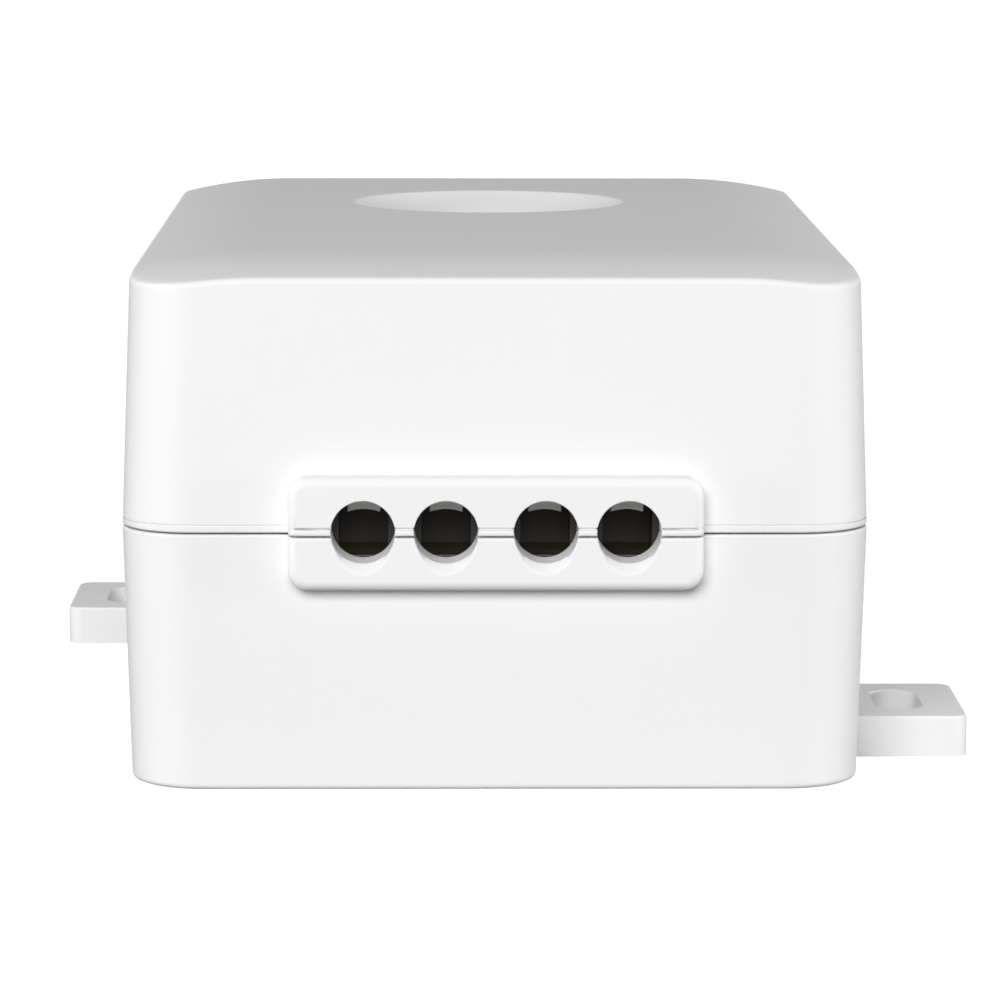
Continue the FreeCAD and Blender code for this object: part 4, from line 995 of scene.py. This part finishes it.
def model_radio_copper():
    """The contacts' pads and the folded antenna at the radio board's far end."""
    low, high = RADIO_TOP - 0.02, RADIO_TOP + 0.035
    near = RADIO_NEAR + 1.4
    pad = block("radio_pad", (RADIO_LEFT + 0.02, near - 0.4, low), (RADIO_LEFT + 0.48, near + 0.4, high))
    pad = combine(pad, upright_rod("pad_cut", 0.31, RADIO_LEFT, near, low - 1, high + 1, 16), "DIFFERENCE")
    far_pad = half_turn_copy(pad, (RADIO_LEFT + RADIO_RIGHT) / 2, near)
    steps = [(0, LEG_PITCH * step, 0) for step in range(8)]
    pads = [copies(pad, steps), copies(far_pad, steps)]
    leg = block("antenna_leg", (4.5, 28.9, low), (5.0, 32.2, high))
    legs = copies(leg, [(1.6 * step, 0, 0) for step in range(6)])
    link = block("antenna_link", (4.5, 31.7, low), (6.6, 32.2, high))
    links = copies(link, [(1.6 * step, -2.8 * (step % 2), 0) for step in range(5)])
    return join([combine(legs, links, "UNION"), *pads])


def model_radio_shield():
    """A drawn metal lid with vent holes in its top and notches along its foot."""
    shield = board_body("radio_lid", SHIELD_MIDDLE, SHIELD_SIZE, 0.6, 0.35, RADIO_TOP - BOARD_TOP)
    top = RADIO_TOP + SHIELD_SIZE[2]
    hole = upright_rod("vent_hole", 0.45, 6.0, 19.0, top - 0.5, top + 1, 20)
    holes = copies(hole, [(2.8 * column, 3.25 * row, 0) for column in range(3) for row in range(3)])
    notch = block("shield_notch", (3.0, 18.4, RADIO_TOP - 0.2), (14.6, 19.6, RADIO_TOP + 0.4))
    notches = copies(notch, [(0, 3.25 * step, 0) for step in range(3)])
    return combine(shield, join([holes, notches]), "DIFFERENCE")


def model_touch_chip():
    """The touch chip's body with a mark for its first leg."""
    x, y = CHIP_MIDDLE
    body = board_body("chip_case", CHIP_MIDDLE, CHIP_SIZE, 0.08, 0.15, 0.1)
    mark = upright_rod("chip_mark", 0.3, x - 0.9, y - 1.8, BOARD_TOP + 1.44, BOARD_TOP + 2, 20)
    return combine(body, mark, "DIFFERENCE")


def model_chip_legs():
    """Four bent legs on each side of the touch chip."""
    x, y = CHIP_MIDDLE
    near, far = y - 2.08, y - 1.73
    upper = block("leg_upper", (x - 1.65, near, BOARD_TOP + 0.5), (x - 1.2, far, BOARD_TOP + 0.65))
    down = block("leg_down", (x - 1.65, near, BOARD_TOP), (x - 1.5, far, BOARD_TOP + 0.6))
    foot = block("leg_foot", (x - 1.95, near, BOARD_TOP), (x - 1.52, far, BOARD_TOP + 0.15))
    leg = combine(combine(upper, down, "UNION"), foot, "UNION")
    other = half_turn_copy(leg, *CHIP_MIDDLE)
    return join([
        copies(piece, [(0, pitch * step, 0) for step in range(4)])
        for piece, pitch in ((leg, LEG_PITCH), (other, -LEG_PITCH))
    ])


def model_terminal_block(node, edge):
    """The housing, whose mouths' lower edges just cover the metal behind them."""
    mouth_low, mouth_back, rise = WIRE_HEIGHT - 1.95, -33.45, 0.13
    return shift(
        dressed_copy(node, edge), (0, 0, rise),
        lambda points: abs(points[0].z - mouth_low) < 0.12 and points[0].y < mouth_back,
    )


def model_spring(wire):
    """The coil between the board and the electrode: a wire's round section swept up a screw line."""
    low, high = BOARD_TOP + wire / 2, CEILING - DISH_DEPTH - 0.5 - wire / 2
    radius, turns = 2.4, 9
    bpy.ops.object.select_all(action="DESELECT")
    bpy.ops.mesh.primitive_circle_add(
        vertices=14, radius=wire / 2 * MM, location=(radius * MM, 0, low * MM), rotation=(math.pi / 2, 0, 0),
    )
    coil = new_piece("spring_coil")
    apply_modifier(
        coil, "SCREW", steps=32, render_steps=32, iterations=turns, screw_offset=(high - low) / turns * MM,
        axis="Z",
    )
    return shift(close_ends(coil), (0, DISH_ALONG, 0), lambda points: True)


def end_caps(name, length, width, height, cap):
    """The two metal ends of a small board part."""
    end = block(name, (-length / 2, -width / 2, BOARD_TOP), (cap - length / 2, width / 2, BOARD_TOP + height))
    round_edges(end, 0.05, 2, lambda points: all(p.z > BOARD_TOP + 0.01 for p in points))
    return copies(end, [(0, 0, 0), (length - cap, 0, 0)])


# Pieces


class TOUCHSWITCH_OT_cover(bpy.types.Operator):
    """Top shell with the finger dish"""

    bl_idname = "touchswitch.cover"
    bl_label = "Cover"

    def execute(self, context):
        finish_new(model_cover(), "top_cover", angle=SHELL_SHARP)
        return {"FINISHED"}


class TOUCHSWITCH_OT_base(bpy.types.Operator):
    """Bottom shell with its lugs, posts and snap hooks"""

    bl_idname = "touchswitch.base"
    bl_label = "Base"

    def execute(self, context):
        finish_new(model_base(), "base_shell", angle=SHELL_SHARP)
        return {"FINISHED"}


class TOUCHSWITCH_OT_case_screws(bpy.types.Operator):
    """The two screws that hold the shells together"""

    bl_idname = "touchswitch.case_screws"
    bl_label = "Case screws"

    def execute(self, context):
        dress("case_screws", edge=context.scene.touch_switch_parts.edge)
        return {"FINISHED"}


class TOUCHSWITCH_OT_circuit_board(bpy.types.Operator):
    """Main circuit board"""

    bl_idname = "touchswitch.circuit_board"
    bl_label = "Circuit board"

    def execute(self, context):
        dress("circuit_board")
        return {"FINISHED"}


class TOUCHSWITCH_OT_terminals(bpy.types.Operator):
    """Terminal housings, contact frames, clamp leaves and screws: each is made once and copied"""

    bl_idname = "touchswitch.terminals"
    bl_label = "Terminals"

    def execute(self, context):
        edge = context.scene.touch_switch_parts.edge
        housing = model_terminal_block("terminal_block_right", edge)
        model_x = WIRE_PLACES[MODEL_POLE - 1]
        step = (WIRE_PLACES[0] - model_x, 0, 0)
        finish_piece(moved_copy(housing, "terminal_block_left_dressed", step), "terminal_block_left")
        finish_piece(housing, "terminal_block_right")
        for kind in ("contact_frame", "clamp_leaf", "terminal_screw"):
            model = dressed_copy(f"{kind}_{MODEL_POLE}", edge)
            for pole, x in zip(POLES, WIRE_PLACES):
                if pole != MODEL_POLE:
                    copy = moved_copy(model, f"{kind}_{pole}_dressed", (x - model_x, 0, 0))
                    finish_piece(copy, f"{kind}_{pole}")
            finish_piece(model, f"{kind}_{MODEL_POLE}")
        return {"FINISHED"}


class TOUCHSWITCH_OT_relay(bpy.types.Operator):
    """Relay"""

    bl_idname = "touchswitch.relay"
    bl_label = "Relay"

    def execute(self, context):
        finish_new(model_relay(), "relay")
        return {"FINISHED"}


class TOUCHSWITCH_OT_power(bpy.types.Operator):
    """Power module, capacitors, varistor and fuse"""

    bl_idname = "touchswitch.power"
    bl_label = "Power parts"

    def execute(self, context):
        finish_new(model_power_module(), "power_module")
        finish_new(model_film_capacitor(), "suppression_capacitor")
        finish_new(model_varistor(), "varistor")
        finish_new(model_thermal_fuse(), "thermal_fuse")
        finish_new(model_bulk_capacitor(), "bulk_capacitor")
        finish_new(model_can_top(), "bulk_capacitor", "steel", False)
        return {"FINISHED"}


class TOUCHSWITCH_OT_radio(bpy.types.Operator):
    """Radio board with its copper, and its shield"""

    bl_idname = "touchswitch.radio"
    bl_label = "Radio"

    def execute(self, context):
        finish_new(model_radio_board(), "radio_board")
        finish_new(model_radio_copper(), "radio_board", "copper_alloy", False)
        finish_new(model_radio_shield(), "radio_shield")
        return {"FINISHED"}


class TOUCHSWITCH_OT_touch_sensor(bpy.types.Operator):
    """Touch chip, electrode and spring"""

    bl_idname = "touchswitch.touch_sensor"
    bl_label = "Touch sensor"

    def execute(self, context):
        parts = context.scene.touch_switch_parts
        finish_new(model_touch_chip(), "touch_controller")
        finish_new(model_chip_legs(), "touch_controller", "steel", False)
        finish_new(model_spring(parts.spring_wire / MM), "touch_spring")
        dress("touch_electrode", edge=parts.edge)
        return {"FINISHED"}


class TOUCHSWITCH_OT_small_parts(bpy.types.Operator):
    """Chip resistors and tantalum capacitors on the board"""

    bl_idname = "touchswitch.small_parts"
    bl_label = "Small parts"

    def execute(self, context):
        for name, places, size, cap, slot in (
            ("resistor", RESISTOR_PLACES, (1.9, 1.2, 0.5), 0.35, "black_plastic"),
            ("tantalum", TANTALUM_PLACES, (3.4, 2.2, 1.6), 0.5, "yellow_plastic"),
        ):
            length, width, height = size
            steps = [(*place, 0) for place in places]
            body = board_body(name, (0, 0), (length - 2 * cap + 0.1, width, height), 0.06, 0.05, 0.03)
            finish_new(copies(body, steps), "circuit_board", slot, False)
            ends = end_caps(f"{name}_end", length, width * 0.98, height * 0.9, cap)
            finish_new(copies(ends, steps), "circuit_board", "steel", False)
        return {"FINISHED"}


# Studio


def make_camera(settings):
    """The camera, placed by its settings, whose defaults come from a fit to the photo's edges."""
    data = bpy.data.cameras.new("camera")
    camera = bpy.data.objects.new("camera", data)
    bpy.context.scene.collection.objects.link(camera)
    data.sensor_fit = "HORIZONTAL"
    data.sensor_width = 36.0
    data.lens = settings.lens
    data.clip_start = 0.01
    turn = Matrix.Rotation(-settings.yaw, 4, "Z") @ Matrix.Rotation(math.pi / 2 - settings.pitch, 4, "X")
    camera.matrix_world = Matrix.Translation(settings.place) @ turn @ Matrix.Rotation(settings.roll, 4, "Z")
    bpy.context.scene.camera = camera


def make_floor(settings):
    """A plain matt floor that the camera sees as white away from the object, with its shadow near it."""
    material, tree, place, shader = start_material("matt_studio_floor", tuple(settings.floor))
    feed(tree, shader, {
        "Base Color": (*settings.floor, 1.0), "Roughness": 0.9, "Specular IOR Level": 0.1,
    })
    distance = add(tree, "ShaderNodeVectorMath", {0: place}, operation="LENGTH").outputs["Value"]
    lift = add(
        tree, "ShaderNodeMapRange",
        {"Value": distance, "From Min": 0.05, "From Max": 0.3, "To Min": 0.92, "To Max": 1.0},
    ).outputs["Result"]
    seen = add(tree, "ShaderNodeLightPath")
    glow_strength = add(
        tree, "ShaderNodeMath", {0: seen.outputs["Is Camera Ray"], 1: lift}, operation="MULTIPLY",
    ).outputs["Value"]
    glow = add(tree, "ShaderNodeEmission", {"Strength": glow_strength}).outputs["Emission"]
    both = add(tree, "ShaderNodeAddShader", {0: shader.outputs["BSDF"], 1: glow}).outputs["Shader"]
    output = next(node for node in tree.nodes if node.type == "OUTPUT_MATERIAL")
    tree.links.new(both, output.inputs["Surface"])
    bpy.ops.object.select_all(action="DESELECT")
    bpy.ops.mesh.primitive_plane_add(size=6.0, location=(0, 0, -0.02 * MM))
    floor = new_piece("floor")
    floor.data.materials.append(material)


def make_light(name, power, width, height, azimuth, elevation):
    """A soft light of this size that looks at the object; azimuth 0 is the front, minus is the left."""
    data = bpy.data.lights.new(name, "AREA")
    data.shape = "RECTANGLE"
    data.size = width
    data.size_y = height
    data.energy = power
    light = bpy.data.objects.new(name, data)
    bpy.context.scene.collection.objects.link(light)
    turn, lift = math.radians(azimuth), math.radians(elevation)
    away = Vector((math.sin(turn) * math.cos(lift), -math.cos(turn) * math.cos(lift), math.sin(lift)))
    light.location = away * LIGHT_DISTANCE
    light.rotation_euler = (-away).to_track_quat("-Z", "Y").to_euler()


def make_world(settings):
    """Even light from all round; the camera, glass and gloss see plain white instead."""
    world = bpy.data.worlds.new("studio")
    bpy.context.scene.world = world
    world.use_nodes = True
    tree = world.node_tree
    tree.nodes.clear()
    path = add(tree, "ShaderNodeLightPath")
    seen = add(
        tree, "ShaderNodeMath",
        {0: path.outputs["Is Camera Ray"], 1: path.outputs["Is Glossy Ray"]}, operation="MAXIMUM",
    ).outputs["Value"]
    seen = add(
        tree, "ShaderNodeMath", {0: seen, 1: path.outputs["Is Transmission Ray"]}, operation="MAXIMUM",
    ).outputs["Value"]
    even = add(
        tree, "ShaderNodeBackground", {"Strength": settings.fill, "Color": (0.97, 0.985, 1.0, 1.0)},
    ).outputs["Background"]
    white = add(tree, "ShaderNodeBackground", {"Strength": 1.0, "Color": (1, 1, 1, 1)}).outputs["Background"]
    mixed = add(tree, "ShaderNodeMixShader", {"Fac": seen, 1: even, 2: white}).outputs["Shader"]
    add(tree, "ShaderNodeOutputWorld", {"Surface": mixed})


class TOUCHSWITCH_OT_stage(bpy.types.Operator):
    """Floor, lights, background and camera"""

    bl_idname = "touchswitch.stage"
    bl_label = "Stage"

    def execute(self, context):
        settings = context.scene.touch_switch_studio
        make_camera(settings)
        make_floor(settings)
        make_light("key_light", settings.key_power, width=0.8, height=0.45, azimuth=-10, elevation=27.2)
        make_light("left_light", settings.left_power, width=0.5, height=0.12, azimuth=-86, elevation=4)
        make_light("right_light", settings.right_power, width=0.5, height=0.12, azimuth=88, elevation=4)
        make_world(settings)
        context.scene.view_settings.view_transform = "Standard"
        return {"FINISHED"}


OPERATORS = (
    TOUCHSWITCH_OT_cover,
    TOUCHSWITCH_OT_base,
    TOUCHSWITCH_OT_case_screws,
    TOUCHSWITCH_OT_circuit_board,
    TOUCHSWITCH_OT_terminals,
    TOUCHSWITCH_OT_relay,
    TOUCHSWITCH_OT_power,
    TOUCHSWITCH_OT_radio,
    TOUCHSWITCH_OT_touch_sensor,
    TOUCHSWITCH_OT_small_parts,
    TOUCHSWITCH_OT_stage,
)


class TOUCHSWITCH_PT_panel(bpy.types.Panel):
    """Sizes, colours and pieces of the touch switch"""

    bl_idname = "TOUCHSWITCH_PT_panel"
    bl_label = "Touch switch"
    bl_space_type = "VIEW_3D"
    bl_region_type = "UI"
    bl_category = "Touch switch"

    def draw(self, context):
        scene = context.scene
        for group in (scene.touch_switch_shells, scene.touch_switch_parts, scene.touch_switch_studio):
            box = self.layout.box()
            for name in group.bl_rna.properties.keys():
                if name not in ("rna_type", "name"):
                    box.prop(group, name)
        for operator in OPERATORS:
            self.layout.operator(operator.bl_idname)


CLASSES = (ShellSettings, PartSettings, StudioSettings, *OPERATORS, TOUCHSWITCH_PT_panel)


def register():
    """Registers the settings, operators and panel."""
    for cls in CLASSES:
        bpy.utils.register_class(cls)
    bpy.types.Scene.touch_switch_shells = PointerProperty(type=ShellSettings)
    bpy.types.Scene.touch_switch_parts = PointerProperty(type=PartSettings)
    bpy.types.Scene.touch_switch_studio = PointerProperty(type=StudioSettings)


def unregister():
    """Takes back what register added."""
    del bpy.types.Scene.touch_switch_studio
    del bpy.types.Scene.touch_switch_parts
    del bpy.types.Scene.touch_switch_shells
    for cls in reversed(CLASSES):
        bpy.utils.unregister_class(cls)


def main():
    """Builds the whole scene."""
    register()
    make_materials()
    bpy.ops.touchswitch.cover()
    bpy.ops.touchswitch.base()
    bpy.ops.touchswitch.case_screws()
    bpy.ops.touchswitch.circuit_board()
    bpy.ops.touchswitch.terminals()
    bpy.ops.touchswitch.relay()
    bpy.ops.touchswitch.power()
    bpy.ops.touchswitch.radio()
    bpy.ops.touchswitch.touch_sensor()
    bpy.ops.touchswitch.small_parts()
    bpy.ops.touchswitch.stage()


if __name__ == "__main__":
    main()
